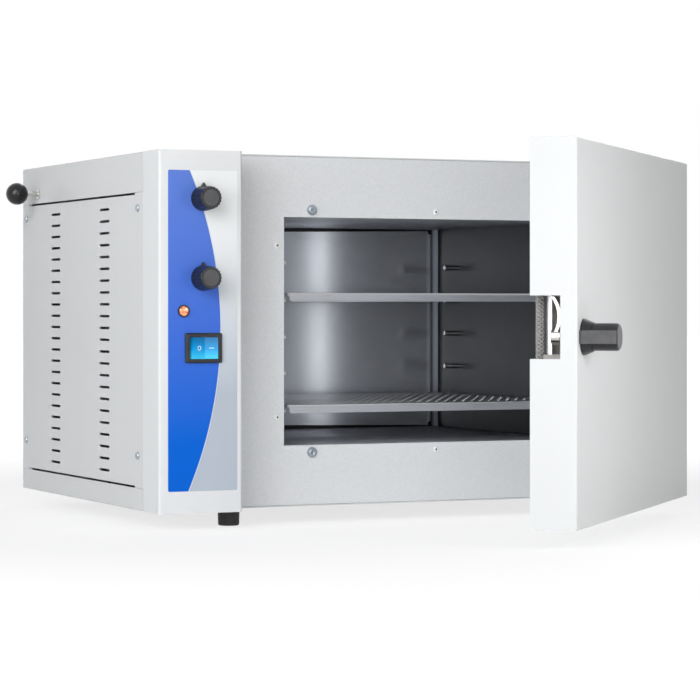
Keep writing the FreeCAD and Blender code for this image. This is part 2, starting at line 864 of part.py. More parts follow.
def wiring():
    """Supply from the inlet to the terminals, and from there to the switch, the heater and the controls."""
    low = base + case_sheet + wire_rise
    block_x, block_y = left + terminal_x, front + terminal_y
    inlet = inlet_place()
    supply_x = block_x + 2.5 * terminal_pitch
    supply = [Vector(inlet.x, rear - inlet_tab_reach - wire_gap, inlet.z),
              Vector(inlet.x, rear - supply_level_to, inlet.z), Vector(supply_x, rear - supply_low_from, low),
              Vector(supply_x, block_y + terminal_depth + wire_gap, low)]
    tab_x = switch_x + switch_tab_offset
    switch_end = control_face - film_thickness + switch_body_depth + tab_length + wire_gap
    to_switch = [Vector(tab_x, block_y - wire_gap, low), Vector(tab_x, block_y - switch_wire_low_to, low),
                 Vector(tab_x, front + riser_setback, switch_z), Vector(tab_x, switch_end, switch_z)]
    outside = heater_end_x() - wire_gap
    leads = []
    for leg in (0, heater_legs - 1):
        y = heater_leg_y(leg)
        side = block_x + terminal_ways * terminal_pitch + wire_gap
        target = block_y + terminal_depth / 2
        if leg:
            leads.append([Vector(outside, y, heater_z()), Vector(side + heater_wire_aside - 1, y, heater_z()),
                          Vector(side + wire_lift, y - heater_wire_drop, low + wire_lift),
                          Vector(side + wire_lift, target + heater_wire_end, low + wire_lift),
                          Vector(side - wire_rise, block_y + terminal_depth + 5 * wire_gap, low)])
        else:
            leads.append([Vector(outside, y, heater_z()), Vector(side + heater_wire_aside, y, heater_z()),
                          Vector(side + heater_wire_aside, target, low), Vector(side, target, low)])
    riser_x = knob_x + riser_aside
    thermostat_end = control_back(thermostat_depth) + tab_length + wire_gap
    timer_end = control_back(timer_depth) + tab_length + wire_gap
    to_controls = [Vector(riser_x, thermostat_end, thermostat_z),
                   Vector(riser_x, front + riser_setback, thermostat_z + wire_lift),
                   Vector(riser_x, front + riser_setback, timer_z - wire_lift),
                   Vector(riser_x, timer_end, timer_z)]
    return Part.makeCompound([tube(points, wire_radius, wire_bend)
                              for points in [supply, to_switch, to_controls] + leads])


def cradle_rails():
    """Two hat-section rails that carry the insulated chamber above the base."""
    grow = liner_sheet + insulation_gap + insulation_wall
    high = chamber_floor - grow - heater_recess
    low = base + case_sheet
    t = liner_sheet
    rails = []
    half, foot_width = rail_width / 2, rail_foot
    for y in (front + rail_inset, rear - rail_inset):
        profile = [(y - half - foot_width, low), (y - half + t, low), (y - half + t, high - t),
                   (y + half - t, high - t), (y + half - t, low), (y + half + foot_width, low),
                   (y + half + foot_width, low + t), (y + half, low + t), (y + half, high), (y - half, high),
                   (y - half, low + t), (y - half - foot_width, low + t)]
        points = [(chamber_left - grow, py, pz) for py, pz in profile]
        rails.append(polygon_prism(points, Vector(opening_width + 2 * grow, 0, 0)))
    return Part.makeCompound(rails)


def damper_plate_z():
    return rod_z + damper_plate_lift


def vent_duct():
    """A flanged tube from the chamber roof through the cover, slit halfway up for the damper plate."""
    low = chamber_roof + liner_sheet
    outer = vent_bore + vent_wall
    profile = [(vent_bore, low), (outer + vent_flange, low), (outer + vent_flange, low + vent_wall),
               (outer, low + vent_wall), (outer, top + vent_rise), (vent_bore, top + vent_rise)]
    duct = turned(profile, Vector(vent_x, vent_y, 0), Z)
    reach = vent_bore + damper_plate_lap + panel_gap
    half = damper_plate_sheet / 2 + panel_gap
    z = damper_plate_z()
    slit = block(vent_x - 2 * outer, vent_x, vent_y - reach, vent_y + reach, z - half, z + half)
    slit = slit.fuse(rod(Vector(vent_x, vent_y, z - half), Z, reach, 2 * half))
    return duct.cut(slit)


def damper_tab_x():
    """Outer face of the tab that the rod is bolted to."""
    tip = vent_x + vent_bore + damper_plate_lap - damper_push_in
    return tip - damper_plate_length


def damper_plate():
    """A tongue with a round end that closes the duct, and a folded tab for the rod."""
    tab_x = damper_tab_x()
    half = vent_bore + damper_plate_lap
    z0 = damper_plate_z() - damper_plate_sheet / 2
    z1 = z0 + damper_plate_sheet
    centre_x = tab_x + damper_plate_length - half
    plate = block(tab_x, centre_x, vent_y - half, vent_y + half, z0, z1)
    plate = plate.fuse(rod(Vector(centre_x, vent_y, z0), Z, half, damper_plate_sheet))
    tab = block(tab_x, tab_x + damper_plate_sheet, vent_y - half / 2, vent_y + half / 2,
                rod_z - damper_plate_lift, z1)
    hole = rod(Vector(tab_x - 1, vent_y, rod_z), X, damper_spigot_radius + damper_fit_gap, 4)
    return plate.fuse(tab).cut(hole).removeSplitter()


def damper_rod():
    """The push-pull rod, stepped at its inner end, with its outer end in the ball."""
    outside = left - damper_ball_reach
    length = damper_tab_x() - outside
    spigot = damper_plate_sheet + damper_nut_height + 1
    profile = [(0, 0), (damper_rod_radius, 0), (damper_rod_radius, length), (damper_spigot_radius, length),
               (damper_spigot_radius, length + spigot), (0, length + spigot)]
    return turned(profile, Vector(outside, vent_y, rod_z), X)


def damper_ball():
    ball = Part.makeSphere(damper_ball_radius, Vector(left - damper_ball_reach, vent_y, rod_z))
    socket = rod(Vector(left - damper_ball_reach, vent_y, rod_z), X,
                 damper_rod_radius + damper_fit_gap, damper_ball_radius)
    return ball.cut(socket)


def damper_nut():
    x = damper_tab_x() + damper_plate_sheet
    radius = damper_nut_width / math.sqrt(3)
    corners = []
    for k in range(6):
        angle = math.radians(60 * k)
        corners.append((x, vent_y + radius * math.cos(angle), rod_z + radius * math.sin(angle)))
    nut = polygon_prism(corners, Vector(damper_nut_height, 0, 0))
    hole = rod(Vector(x - 1, vent_y, rod_z), X, damper_spigot_radius + damper_fit_gap, damper_nut_height + 2)
    return nut.cut(hole)


def damper_bush():
    """A turned guide for the rod, seated in the cover's left flange."""
    bore = damper_rod_radius + damper_running_gap
    neck = damper_bush_radius - damper_bush_step
    rim = -damper_bush_flange
    profile = [(bore, rim), (damper_bush_radius, rim), (damper_bush_radius, 0), (neck, 0),
               (neck, damper_bush_length), (bore, damper_bush_length)]
    return turned(profile, Vector(left, vent_y, rod_z), X)


def knob(height):
    """A fluted knob with a pointer at its skirt and a blind bore for the spindle, standing off the film."""
    centre = Vector(knob_x, knob_back, height)
    neck = knob_neck
    profile = [(0, 0), (knob_radius, 0), (knob_radius, neck), (knob_tip_radius, knob_length - knob_chamfer),
               (knob_tip_radius - knob_chamfer, knob_length), (0, knob_length)]
    body = turned(profile, centre, -Y)
    cutters = []
    for k in range(knob_flutes):
        angle = 2 * math.pi * (k + 0.5) / knob_flutes
        reach = knob_radius + flute_radius * 0.45
        at = centre + Vector(reach * math.sin(angle), -neck, reach * math.cos(angle))
        lean = Vector((knob_tip_radius - knob_radius) * math.sin(angle), neck - knob_length,
                      (knob_tip_radius - knob_radius) * math.cos(angle))
        cutters.append(rod(at, lean, flute_radius, knob_length))
    body = body.cut(cutters)
    root = height + knob_radius - pointer_root
    peak = height + knob_radius + pointer_reach
    tip = [(knob_x - pointer_width / 2, knob_back, root), (knob_x, knob_back, peak),
           (knob_x + pointer_width / 2, knob_back, root)]
    body = body.fuse(polygon_prism(tip, Vector(0, -neck, 0)))
    cap_recess = rod(centre - Y * (knob_length - knob_cap_height), -Y, knob_cap_radius + knob_cap_gap, 2)
    bore = rod(centre + Y, -Y, spindle_radius, knob_length * knob_bore_share + 1)
    return body.cut([cap_recess, bore]).removeSplitter()


def knob_cap(height):
    centre = Vector(knob_x, knob_back - (knob_length - knob_cap_height), height)
    profile = [(0, 0), (knob_cap_radius, 0), (knob_cap_radius, knob_cap_height),
               (0, knob_cap_height + knob_cap_dome)]
    return turned(profile, centre, -Y)


def spindle(height, body_depth):
    """The control's shaft, from its body to the bottom of the knob's bore."""
    inner = control_face + case_sheet + body_depth
    length = inner - knob_back + knob_length * knob_bore_share
    return rod(Vector(knob_x, inner, height), -Y, spindle_radius, length)


def control_body(height, width, depth):
    """A switch body behind the face, with a threaded neck through it and a bore for the spindle."""
    x, z = knob_x, height
    y = control_face + case_sheet
    end = y + depth + control_rear_cap
    body = block(x - width / 2, x + width / 2, y, end, z - width / 2, z + width / 2)
    body = body.makeFillet(control_body_corner, edges_along(body, Y, lambda p: True))
    neck = rod(Vector(x, y, z), -Y, spindle_bush_radius, case_sheet + film_thickness)
    start = y - 4 * case_sheet
    bore = rod(Vector(x, start, z), Y, spindle_radius + spindle_running_gap, y + depth + panel_gap - start)
    terminals = [block(x + dx - tab_width / 2, x + dx + tab_width / 2, end, end + tab_length,
                       z - tab_sheet / 2, z + tab_sheet / 2) for dx in (-width / 4, width / 4)]
    return body.fuse([neck] + terminals).cut(bore)


def lamp_body():
    y = control_face - film_thickness
    profile = [(0, -lamp_rim), (lamp_radius, -lamp_rim), (lamp_radius, 0), (lamp_body_radius, 0),
               (lamp_body_radius, lamp_body_length), (0, lamp_body_length)]
    body = turned(profile, Vector(lamp_x, y, lamp_z), Y)
    return body.cut(rod(Vector(lamp_x, y - 2 * lamp_rim, lamp_z), Y, lamp_body_radius - lamp_wall,
                        2 * lamp_rim + lens_seat))


def lamp_lens():
    radius = lamp_body_radius - lamp_wall - lens_gap
    profile = [(0, 0), (radius, 0), (radius, lens_side), (radius * 0.8, lens_shoulder), (0, lens_height)]
    return turned(profile, Vector(lamp_x, control_face - film_thickness + lens_seat, lamp_z), -Y)


def switch_frame():
    y = control_face - film_thickness
    bezel = switch_block(switch_bezel_width, switch_bezel_height, y - switch_bezel_depth, y)
    bezel = bezel.makeFillet(switch_bezel_corner, edges_along(bezel, Y, lambda p: True))
    face_edges = [edge for edge in bezel.Edges if edge.CenterOfMass.y < y - switch_bezel_depth + 0.01]
    bezel = bezel.makeChamfer(switch_bezel_chamfer, face_edges)
    end = y + switch_body_depth
    body = switch_block(switch_body_width, switch_body_height, y, end)
    well = switch_block(rocker_aperture_width, rocker_aperture_height,
                        y - 2 * switch_bezel_depth, y + rocker_well_depth)
    bore_half = switch_body_height / 2 + rocker_pivot_gap
    pivot = rod(Vector(switch_x, rocker_pivot_y(), switch_z - bore_half), Z,
                rocker_pivot_radius + rocker_pivot_gap, 2 * bore_half)
    tabs = []
    for x in (switch_x - switch_tab_offset, switch_x + switch_tab_offset):
        tabs.append(block(x - switch_tab_width / 2, x + switch_tab_width / 2, end, end + tab_length,
                          switch_z - tab_sheet / 2, switch_z + tab_sheet / 2))
    return bezel.fuse([body] + tabs).cut([well, pivot])


def switch_block(wide, high, y0, y1):
    """A box centred on the switch."""
    return block(switch_x - wide / 2, switch_x + wide / 2, y0, y1, switch_z - high / 2, switch_z + high / 2)


def rocker_pivot_y():
    return control_face - film_thickness + rocker_pivot_depth


def switch_rocker():
    """A rocker with a shallow V face, tilted so that its right half is pressed in."""
    y = rocker_pivot_y()
    half_w, half_h = rocker_half_width, rocker_aperture_height / 2 - panel_gap
    outline = [(-half_w, -rocker_end_rise), (0, -rocker_middle_rise), (half_w, -rocker_end_rise),
               (half_w + rocker_bulge, 0), (half_w - rocker_taper, rocker_tail),
               (-half_w + rocker_taper, rocker_tail), (-half_w - rocker_bulge, 0)]
    points = [(switch_x + px, y + py, switch_z - half_h) for px, py in outline]
    rocker = polygon_prism(points, Vector(0, 0, 2 * half_h))
    pivot_half = switch_body_height / 2 - rocker_pivot_gap
    pivot = rod(Vector(switch_x, y, switch_z - pivot_half), Z, rocker_pivot_radius, 2 * pivot_half)
    rocker = rocker.fuse(pivot).removeSplitter()
    rocker.rotate(Vector(switch_x, y, 0), Z, rocker_tilt)
    return rocker


def terminal_block():
    """A row of terminals standing on the base in the control compartment."""
    x, y, z = left + terminal_x, front + terminal_y, base + case_sheet
    pitch, deep = terminal_pitch, terminal_depth
    high = z + terminal_base
    body = block(x, x + terminal_ways * pitch, y, y + deep, z, high)
    wall, step = terminal_wall, terminal_step
    barrels = [block(x + k * pitch + wall, x + (k + 1) * pitch - wall, y + step, y + deep - step,
                     high, high + terminal_barrel) for k in range(terminal_ways)]
    holes = [rod(Vector(x + (k + 0.5) * pitch, y + deep / 2, high + terminal_barrel + 1), -Z,
                 terminal_bore, terminal_barrel + 1) for k in range(terminal_ways)]
    return body.fuse(barrels).cut(holes)


def mains_inlet():
    """An appliance inlet with a shrouded recess and three blades, in the rear panel."""
    at = inlet_place()
    end = rear - inlet_body_depth
    flange = inlet_block(inlet_flange_width, inlet_flange_height, rear, rear + inlet_flange_sheet)
    flange = flange.makeFillet(inlet_flange_corner, edges_along(flange, Y, lambda p: True))
    body = inlet_block(inlet_body_width, inlet_body_height, end, rear)
    mouth = rear + inlet_mouth
    recess = inlet_block(inlet_recess_width, inlet_recess_height, mouth - inlet_recess_depth, mouth)
    recess = recess.makeChamfer(inlet_recess_chamfer, edges_along(recess, Y, lambda p: p.z > at.z))
    blades, tabs = [], []
    for dx, dz in ((-blade_spacing, blade_low), (0, blade_high), (blade_spacing, blade_low)):
        x, z = at.x + dx, at.z + dz
        blades.append(block(x - blade_thickness / 2, x + blade_thickness / 2, end, rear - blade_setback,
                            z - blade_width / 2, z + blade_width / 2))
        tabs.append(block(x - tab_sheet / 2, x + tab_sheet / 2, rear - inlet_tab_reach, end,
                          z - tab_width / 2, z + tab_width / 2))
    holes = [rod(Vector(at.x + side * inlet_screw_span / 2, rear + inlet_flange_sheet + 1, at.z), -Y,
                 hole_radius, inlet_flange_sheet + 2) for side in (-1, 1)]
    return flange.fuse(body).cut([recess] + holes).fuse(blades + tabs).removeSplitter()


def inlet_block(wide, high, y0, y1):
    """A box centred on the inlet."""
    at = inlet_place()
    return block(at.x - wide / 2, at.x + wide / 2, y0, y1, at.z - high / 2, at.z + high / 2)


def foot(x, y):
    """A tapered rubber foot with a deep recess for its screw."""
    profile = [(hole_radius, base), (foot_radius, base), (foot_base_radius + 0.4, foot_rim_chamfer),
               (foot_base_radius - 0.6, 0), (foot_recess_radius, 0), (foot_recess_radius, foot_recess_depth),
               (hole_radius, foot_recess_depth)]
    return turned(profile, Vector(x, y, 0), Z)


def rubber_feet():
    return Part.makeCompound([foot(x, y) for x, y in feet_places()])


def foot_screws():
    return [pan_screw(Vector(x, y, foot_recess_depth), -Z, foot_height - foot_recess_depth + foot_screw_reach)
            for x, y in feet_places()]


def side_panel_screws():
    screws = []
    for x, out in ((left, -1), (right, 1)):
        screws += [pan_screw(Vector(x, y, z), Vector(out, 0, 0), side_screw_length)
                   for y, z in side_screw_places(out)]
    return screws


def blind_rivet(point, axis, grip):
    """A blind rivet: a domed head with a hollow middle, and its set tail."""
    head, high, core = rivet_head_radius, rivet_head_height, rivet_core_radius
    end = -grip - rivet_tail
    profile = [(0, end), (rivet_radius, end), (rivet_radius, 0), (head, 0), (head - 0.5, high * 0.7),
               (core + 0.3, high), (core, high * 0.4), (0, high * 0.4)]
    return turned(profile, point, axis)


def front_rivets():
    return Part.makeCompound([blind_rivet(Vector(x, front, z), -Y, case_sheet + liner_sheet)
                              for x, z in rivet_places()])


def flange_screws():
    """Plated screws on washers that hang the liner."""
    pieces = []
    for x, z in flange_screw_places():
        washer = turned([(flange_screw_radius, 0), (washer_radius, 0), (washer_radius, washer_thickness),
                         (flange_screw_radius, washer_thickness)], Vector(x, front, z), -Y)
        screw = pan_screw(Vector(x, front - washer_thickness, z), -Y, flange_screw_length,
                          flange_screw_radius, flange_screw_head_radius, flange_screw_head_height)
        pieces.append(screw.fuse(washer))
    return Part.makeCompound(pieces)


def inlet_screws():
    at = inlet_place() + Y * inlet_flange_sheet
    return [pan_screw(at + X * (side * inlet_screw_span / 2), Y, inlet_screw_length) for side in (-1, 1)]


def striker_screws():
    """(y, z) of the two screws that hold the striker in the control box."""
    y = control_face + striker_screw_inset
    return [(y, latch_z - lower_striker_screw), (y, latch_z + upper_striker_screw)]


def latch_striker():
    """A plate inside the control box whose slot edge the latch arm draws against."""
    x1 = left + control_width - case_sheet
    low, high = notch_low - striker_below, notch_high + striker_above
    plate = block(x1 - striker_plate, x1, control_face + striker_front_inset, front - striker_rear_inset,
                  low, high)
    edge = door_rim - latch_hub_setback - latch_arm_sheet - latch_arm_bow + latch_arm_play
    slot = block(x1 - striker_plate - 1, x1 + 1, edge, front - striker_rim,
                 low + striker_rim, high - striker_rim)
    holes = [rod(Vector(x1 - 5, y, z), X, hole_radius, 10) for y, z in striker_screws()]
    return plate.cut([slot] + holes)


def striker_fasteners():
    x = left + control_width - case_sheet - striker_plate
    reach = striker_plate + case_sheet - 0.1
    return [pan_screw(Vector(x, y, z), -X, reach) for y, z in striker_screws()]


def door_shell():
    """A folded door skin with return lips, notched at its free edge for the latch."""
    shell = block(door_left, door_right, door_face, door_rim, base, top)
    outer_edges = edges_along(shell, Z, lambda p: p.y < door_face + 1)
    outer_edges += edges_along(shell, X, lambda p: p.y < door_face + 1)
    shell = shell.makeFillet(fold_radius, outer_edges)
    t = case_sheet
    hollow = block(door_left + t, door_right - t, door_face + t, door_rim - t, base + t, top - t)
    mouth = block(door_left + door_lip, door_right - door_lip, door_face + 4 * t, door_rim + 1,
                  base + door_lip, top - door_lip)
    notch = block(door_left - 1, door_left + door_lip + 1, door_rim - notch_depth, door_rim + 1,
                  notch_low, notch_high)
    bush = rod(Vector(latch_x, door_face - 1, latch_z), Y, latch_bush_radius - latch_bush_step, 5 * t)
    holes = [rod(Vector(door_right + 1, y, z), -X, hole_radius, 5) for y, z in door_leaf_screws()]
    return shell.cut([hollow, mouth, notch, bush] + holes)


def door_inner_panel():
    i = inner_panel_inset
    t = liner_sheet
    x0, x1, z0, z1 = door_left + i, door_right - i, base + i, top - i
    face = door_rim - inner_panel_recess
    panel = block(x0, x1, face - inner_panel_flange, face, z0, z1)
    panel = panel.makeFillet(inner_panel_corner, edges_along(panel, Y, lambda p: True))
    inner = block(x0 + t, x1 - t, face - inner_panel_flange - 1, face - t, z0 + t, z1 - t)
    holes = [rod(Vector(x, face - 3, z), Y, hole_radius, 5) for x, z in inner_panel_screw_places()]
    return panel.cut([inner] + holes)


def inner_panel_screw_places():
    i = inner_panel_inset + inner_panel_screw_inset
    return [(x, z) for x in (door_left + i, door_right - i) for z in (base + i, (base + top) / 2, top - i)]


def door_panel_screws():
    y = door_rim - inner_panel_recess
    return [pan_screw(Vector(x, y, z), Y, inner_panel_flange) for x, z in inner_panel_screw_places()]


def gasket_centre_y():
    return door_rim + gasket_proud - gasket_radius


def door_insulation():
    """Fibre board filling the door, stepped for the gasket and cleared round the latch."""
    y0 = door_face + case_sheet + panel_gap
    panel_face = door_rim - inner_panel_recess
    step = panel_face - inner_panel_flange - panel_gap
    i = door_lip + 2
    board = block(door_left + i, door_right - i, y0, step, base + i, top - i)
    j = inner_panel_inset + liner_sheet + panel_gap
    core = block(door_left + j, door_right - j, step, panel_face - liner_sheet - panel_gap, base + j, top - j)
    k = inner_panel_inset - panel_gap
    bed = gasket_centre_y() - gasket_radius - panel_gap
    ring = block(door_left + i, door_right - i, step, bed, base + i, top - i)
    ring = ring.cut(block(door_left + k, door_right - k, step - 1, bed + 1, base + k, top - k))
    pocket = block(door_left + i - 1, latch_x + latch_hub_radius + 6, door_rim - notch_depth - 1, bed + 1,
                   latch_z - latch_hub_radius - 8, latch_z + latch_arm_length + 6)
    bush = rod(Vector(latch_x, y0 - 1, latch_z), Y, latch_bush_radius + 1, case_sheet + control_depth)
    screws = [rod(Vector(x, step - screw_well_depth, z), Y, screw_head_radius + 0.4, 2 * control_depth)
              for x, z in inner_panel_screw_places()]
    return board.fuse([core, ring]).cut([pocket, bush] + screws).removeSplitter()


def door_gasket():
    """A braided rope laid in the channel round the inner panel."""
    inset = (door_lip + inner_panel_inset) / 2
    y = gasket_centre_y()
    x0, x1, z0, z1 = door_left + inset, door_right - inset, base + inset, top - inset
    r = gasket_corner
    d = r * (1 - math.sqrt(0.5))
    edges = [
        Part.LineSegment(Vector(x0 + r, y, z0), Vector(x1 - r, y, z0)).toShape(),
        Part.Arc(Vector(x1 - r, y, z0), Vector(x1 - d, y, z0 + d), Vector(x1, y, z0 + r)).toShape(),
        Part.LineSegment(Vector(x1, y, z0 + r), Vector(x1, y, z1 - r)).toShape(),
        Part.Arc(Vector(x1, y, z1 - r), Vector(x1 - d, y, z1 - d), Vector(x1 - r, y, z1)).toShape(),
        Part.LineSegment(Vector(x1 - r, y, z1), Vector(x0 + r, y, z1)).toShape(),
        Part.Arc(Vector(x0 + r, y, z1), Vector(x0 + d, y, z1 - d), Vector(x0, y, z1 - r)).toShape(),
        Part.LineSegment(Vector(x0, y, z1 - r), Vector(x0, y, z0 + r)).toShape(),
        Part.Arc(Vector(x0, y, z0 + r), Vector(x0 + d, y, z0 + d), Vector(x0 + r, y, z0)).toShape(),
    ]
    section = Part.Wire([Part.makeCircle(gasket_radius, Vector(x0 + r, y, z0), X)])
    return Part.Wire(edges).makePipeShell([section], True, True)


def latch_bush():
    """A flanged bush in the door skin that the latch shaft turns in."""
    bore = latch_shaft_radius + latch_running_gap
    neck = latch_bush_radius - latch_bush_step - panel_gap
    length = control_depth - door_rim_gap - latch_hub_setback - latch_hub_length - latch_bush_short
    shoulder = case_sheet + latch_bush_step
    profile = [(bore, case_sheet), (latch_bush_radius, case_sheet), (latch_bush_radius, shoulder),
               (neck, shoulder), (neck, length), (bore, length)]
    at = Vector(latch_x, door_face, latch_z)
    bush = turned(profile, at, Y)
    start = latch_bush_collar
    collar = turned([(bore, start), (neck, start), (neck, case_sheet), (bore, case_sheet)], at, Y)
    return bush.fuse(collar).removeSplitter()


def latch_shaft():
    """From inside the knob to the inner face of the latch hub."""
    start = door_face - grip_length * grip_bore_share
    end = door_rim - latch_hub_setback + 1
    return rod(Vector(latch_x, start, latch_z), Y, latch_shaft_radius, end - start)


def latch_arm():
    """A hub with a bowed arm. The arm stands up when free, and turns into the control box to hold."""
    y1 = door_rim - latch_hub_setback
    y0 = y1 - latch_hub_length
    hub = rod(Vector(latch_x, y0, latch_z), Y, latch_hub_radius, latch_hub_length)
    t, bow, reach = latch_arm_sheet, latch_arm_bow, latch_arm_length
    a = Vector(latch_x, y1 - t, latch_z)
    b = Vector(latch_x, y1 - t - bow, latch_z + reach / 2)
    c = Vector(latch_x, y1 - t, latch_z + reach)
    shift = Vector(0, t, 0)
    wire = Part.Wire([
        Part.Arc(a, b, c).toShape(),
        Part.LineSegment(c, c + shift).toShape(),
        Part.Arc(c + shift, b + shift, a + shift).toShape(),
        Part.LineSegment(a + shift, a).toShape(),
    ])
    leaf = Part.Face(wire).extrude(X * latch_arm_width)
    leaf.translate(X * (-latch_arm_width / 2))
    arm = hub.fuse(leaf)
    arm = arm.cut(rod(Vector(latch_x, y0 - 1, latch_z), Y, latch_shaft_radius, latch_hub_length + 12))
    return arm.removeSplitter()


def door_knob():
    """A conical skirt with a round grip, grooved for the pointer rib and bored for the shaft."""
    start = knob_stand_off
    profile = [(0, start), (skirt_radius, start), (skirt_radius, skirt_rim),
               (grip_radius + skirt_ledge, skirt_height), (grip_radius, skirt_height),
               (grip_radius, grip_length - grip_chamfer),
               (grip_radius - grip_chamfer, grip_length), (0, grip_length)]
    body = turned(profile, Vector(latch_x, door_face, latch_z), -Y)
    bore = rod(Vector(latch_x, door_face + 1, latch_z), -Y, latch_shaft_radius,
               grip_length * grip_bore_share + 1)
    groove = rib_outline(grip_length + 2)
    return body.cut([bore, groove])


def rib_outline(end):
    """The pointer rib's solid, lying on the side of the knob that faces the free edge."""
    half = rib_width / 2
    inner = grip_radius - rib_seat
    outer_grip = grip_radius + rib_proud
    outer_skirt = skirt_radius + rib_skirt_proud
    profile = [(-inner, -rib_stand_off), (-outer_skirt, -rib_stand_off), (-outer_skirt, -rib_rim),
               (-outer_grip, -skirt_height - skirt_ledge - 0.2), (-outer_grip, -end), (-inner, -end)]
    points = [(latch_x + px, door_face + py, latch_z - half) for px, py in profile]
    return polygon_prism(points, Vector(0, 0, 2 * half))


def knob_pointer():
    return rib_outline(grip_length - rib_stand_off)


def knuckle(low, high):
    """One knuckle of a hinge, without its bore."""
    return rod(Vector(hinge_x, hinge_y, low), Z, knuckle_radius, high - low)


def hinge_case_leaf(middle):
    """The leaf on the casing's side, with the top and bottom knuckles."""
    low, high = middle - hinge_height / 2, middle + hinge_height / 2
    third = hinge_height / 3
    leaf = block(right, right + hinge_leaf_sheet, hinge_y, front + hinge_leaf, low, high)
    window = block(right - 1, hinge_x + knuckle_radius, hinge_y - 1, hinge_y + knuckle_radius + 1,
                   low + third - knuckle_gap, high - third + knuckle_gap)
    knuckles = [knuckle(low, low + third - knuckle_gap), knuckle(high - third + knuckle_gap, high)]
    leaf = leaf.fuse(knuckles).cut(window)
    beside = block(right - 2 * knuckle_radius, right, hinge_y - 2 * knuckle_radius, front + 2 * hinge_leaf,
                   low - 1, high + 1)
    leaf = leaf.cut(beside)
    bore = rod(Vector(hinge_x, hinge_y, low - 1), Z, hinge_pin_radius + hinge_running_gap, hinge_height + 2)
    return leaf.cut([bore] + case_hinge_holes()).removeSplitter()


def hinge_door_leaf(middle):
    """The leaf on the door's edge, with the middle knuckle."""
    low, high = middle - hinge_height / 2, middle + hinge_height / 2
    third = hinge_height / 3
    leaf = block(right, right + hinge_leaf_sheet, hinge_y - hinge_leaf, hinge_y, low, high)
    ends = [block(right - 1, hinge_x + knuckle_radius, hinge_y - knuckle_radius - 1, hinge_y + 1, z0, z1)
            for z0, z1 in ((low - 1, low + third), (high - third, high + 1))]
    leaf = leaf.cut(ends).fuse(knuckle(low + third, high - third))
    bore = rod(Vector(hinge_x, hinge_y, low - 1), Z, hinge_pin_radius + hinge_running_gap, hinge_height + 2)
    holes = [rod(Vector(right - 1, y, z), X, hole_radius, 5) for y, z in door_leaf_screws()]
    return leaf.cut([bore] + holes).removeSplitter()


def door_leaf_screws():
    """(y, z) of the screws that hold the hinge leaves to the door's edge."""
    y = hinge_y - hinge_leaf * 0.6
    return [(y, z) for _, middle in hinge_middles() for z in hinge_screw_heights(middle)]


def hinge_pin(middle):
    low = middle - hinge_height / 2
    shoulder = hinge_height + panel_gap
    crown = shoulder + hinge_pin_head
    profile = [(0, 0), (hinge_pin_radius, 0), (hinge_pin_radius, shoulder), (knuckle_radius - 0.5, shoulder),
               (knuckle_radius - 1, crown), (0, crown)]
    return turned(profile, Vector(hinge_x, hinge_y, low), Z)


def hinge_pins():
    return Part.makeCompound([hinge_pin(middle) for _, middle in hinge_middles()])


def case_hinge_screws():
    x = right + hinge_leaf_sheet
    return [pan_screw(Vector(x, y, z), X, hinge_screw_length) for y, z in case_hinge_places()]


def door_hinge_screws():
    x = right + hinge_leaf_sheet
    return [pan_screw(Vector(x, y, z), X, hinge_screw_length) for y, z in door_leaf_screws()]


def case_screws():
    """Every small screw that stays with the casing."""
    return Part.makeCompound(foot_screws() + side_panel_screws() + inlet_screws() + striker_fasteners()
                             + case_hinge_screws())


def door_screws():
    """Every small screw that swings with the door."""
    return Part.makeCompound(door_panel_screws() + door_hinge_screws())


def build_casing():
    save("top_cover", top_cover())
    save("base_pan", base_pan())
    save("left_side_panel", side_panel(left, 1, True))
    save("right_side_panel", side_panel(right, -1, False))
    save("front_panel", front_panel())
    save("rear_panel", rear_panel())
    save("control_box", control_box())
    save("control_film", control_film())
    save("cradle_rails", cradle_rails())
    save("rubber_feet", rubber_feet())
    save("case_screws", case_screws())


def build_chamber():
    save("chamber_liner", chamber_liner())
    save("chamber_back_wall", chamber_back_wall())
    save("chamber_insulation", chamber_insulation())
    save("shelf_studs", shelf_studs())
    save("lower_shelf", shelf(lower_shelf_level))
    save("upper_shelf", shelf(upper_shelf_level))
    save("heating_element", heating_element())
    save("thermostat_bulb", thermostat_bulb())
    save("front_rivets", front_rivets())
    save("flange_screws", flange_screws())


def build_vent():
    save("vent_duct", vent_duct())
    save("damper_bush", damper_bush())
    save("damper_plate", damper_plate())
    save("damper_rod", damper_rod())
    save("damper_ball", damper_ball())
    save("damper_nut", damper_nut())


def build_controls():
    for name, height, width, depth in (("timer", timer_z, timer_width, timer_depth),
                                       ("thermostat", thermostat_z, thermostat_width, thermostat_depth)):
        save(name + "_body", control_body(height, width, depth))
        save(name + "_spindle", spindle(height, depth))
        save(name + "_knob", knob(height))
        save(name + "_knob_cap", knob_cap(height))
    save("lamp_body", lamp_body())
    save("lamp_lens", lamp_lens())
    save("switch_frame", switch_frame())
    save("switch_rocker", switch_rocker())
    save("terminal_block", terminal_block())
    save("mains_inlet", mains_inlet())
    save("capillary", capillary())
    save("wiring", wiring())


def build_door():
    save("door_shell", swing(door_shell()))
    save("door_inner_panel", swing(door_inner_panel()))
    save("door_screws", swing(door_screws()))
    save("door_insulation", swing(door_insulation()))
    save("door_gasket", swing(door_gasket()))
    save("latch_bush", swing(latch_bush()))
    save("latch_shaft", swing(latch_shaft()))
    save("latch_arm", swing(latch_arm()))
    save("door_knob", swing(door_knob()))
    save("knob_pointer", swing(knob_pointer()))
    save("latch_striker", latch_striker())


def build_hinges():
    for name, middle in hinge_middles():
        save(name + "_hinge_case_leaf", hinge_case_leaf(middle))
        save(name + "_hinge_door_leaf", swing(hinge_door_leaf(middle)))
    save("hinge_pins", hinge_pins())


def main():
    os.makedirs("parts", exist_ok=True)
    build_casing()
    build_chamber()
    build_vent()
    build_controls()
    build_door()
    build_hinges()


main()
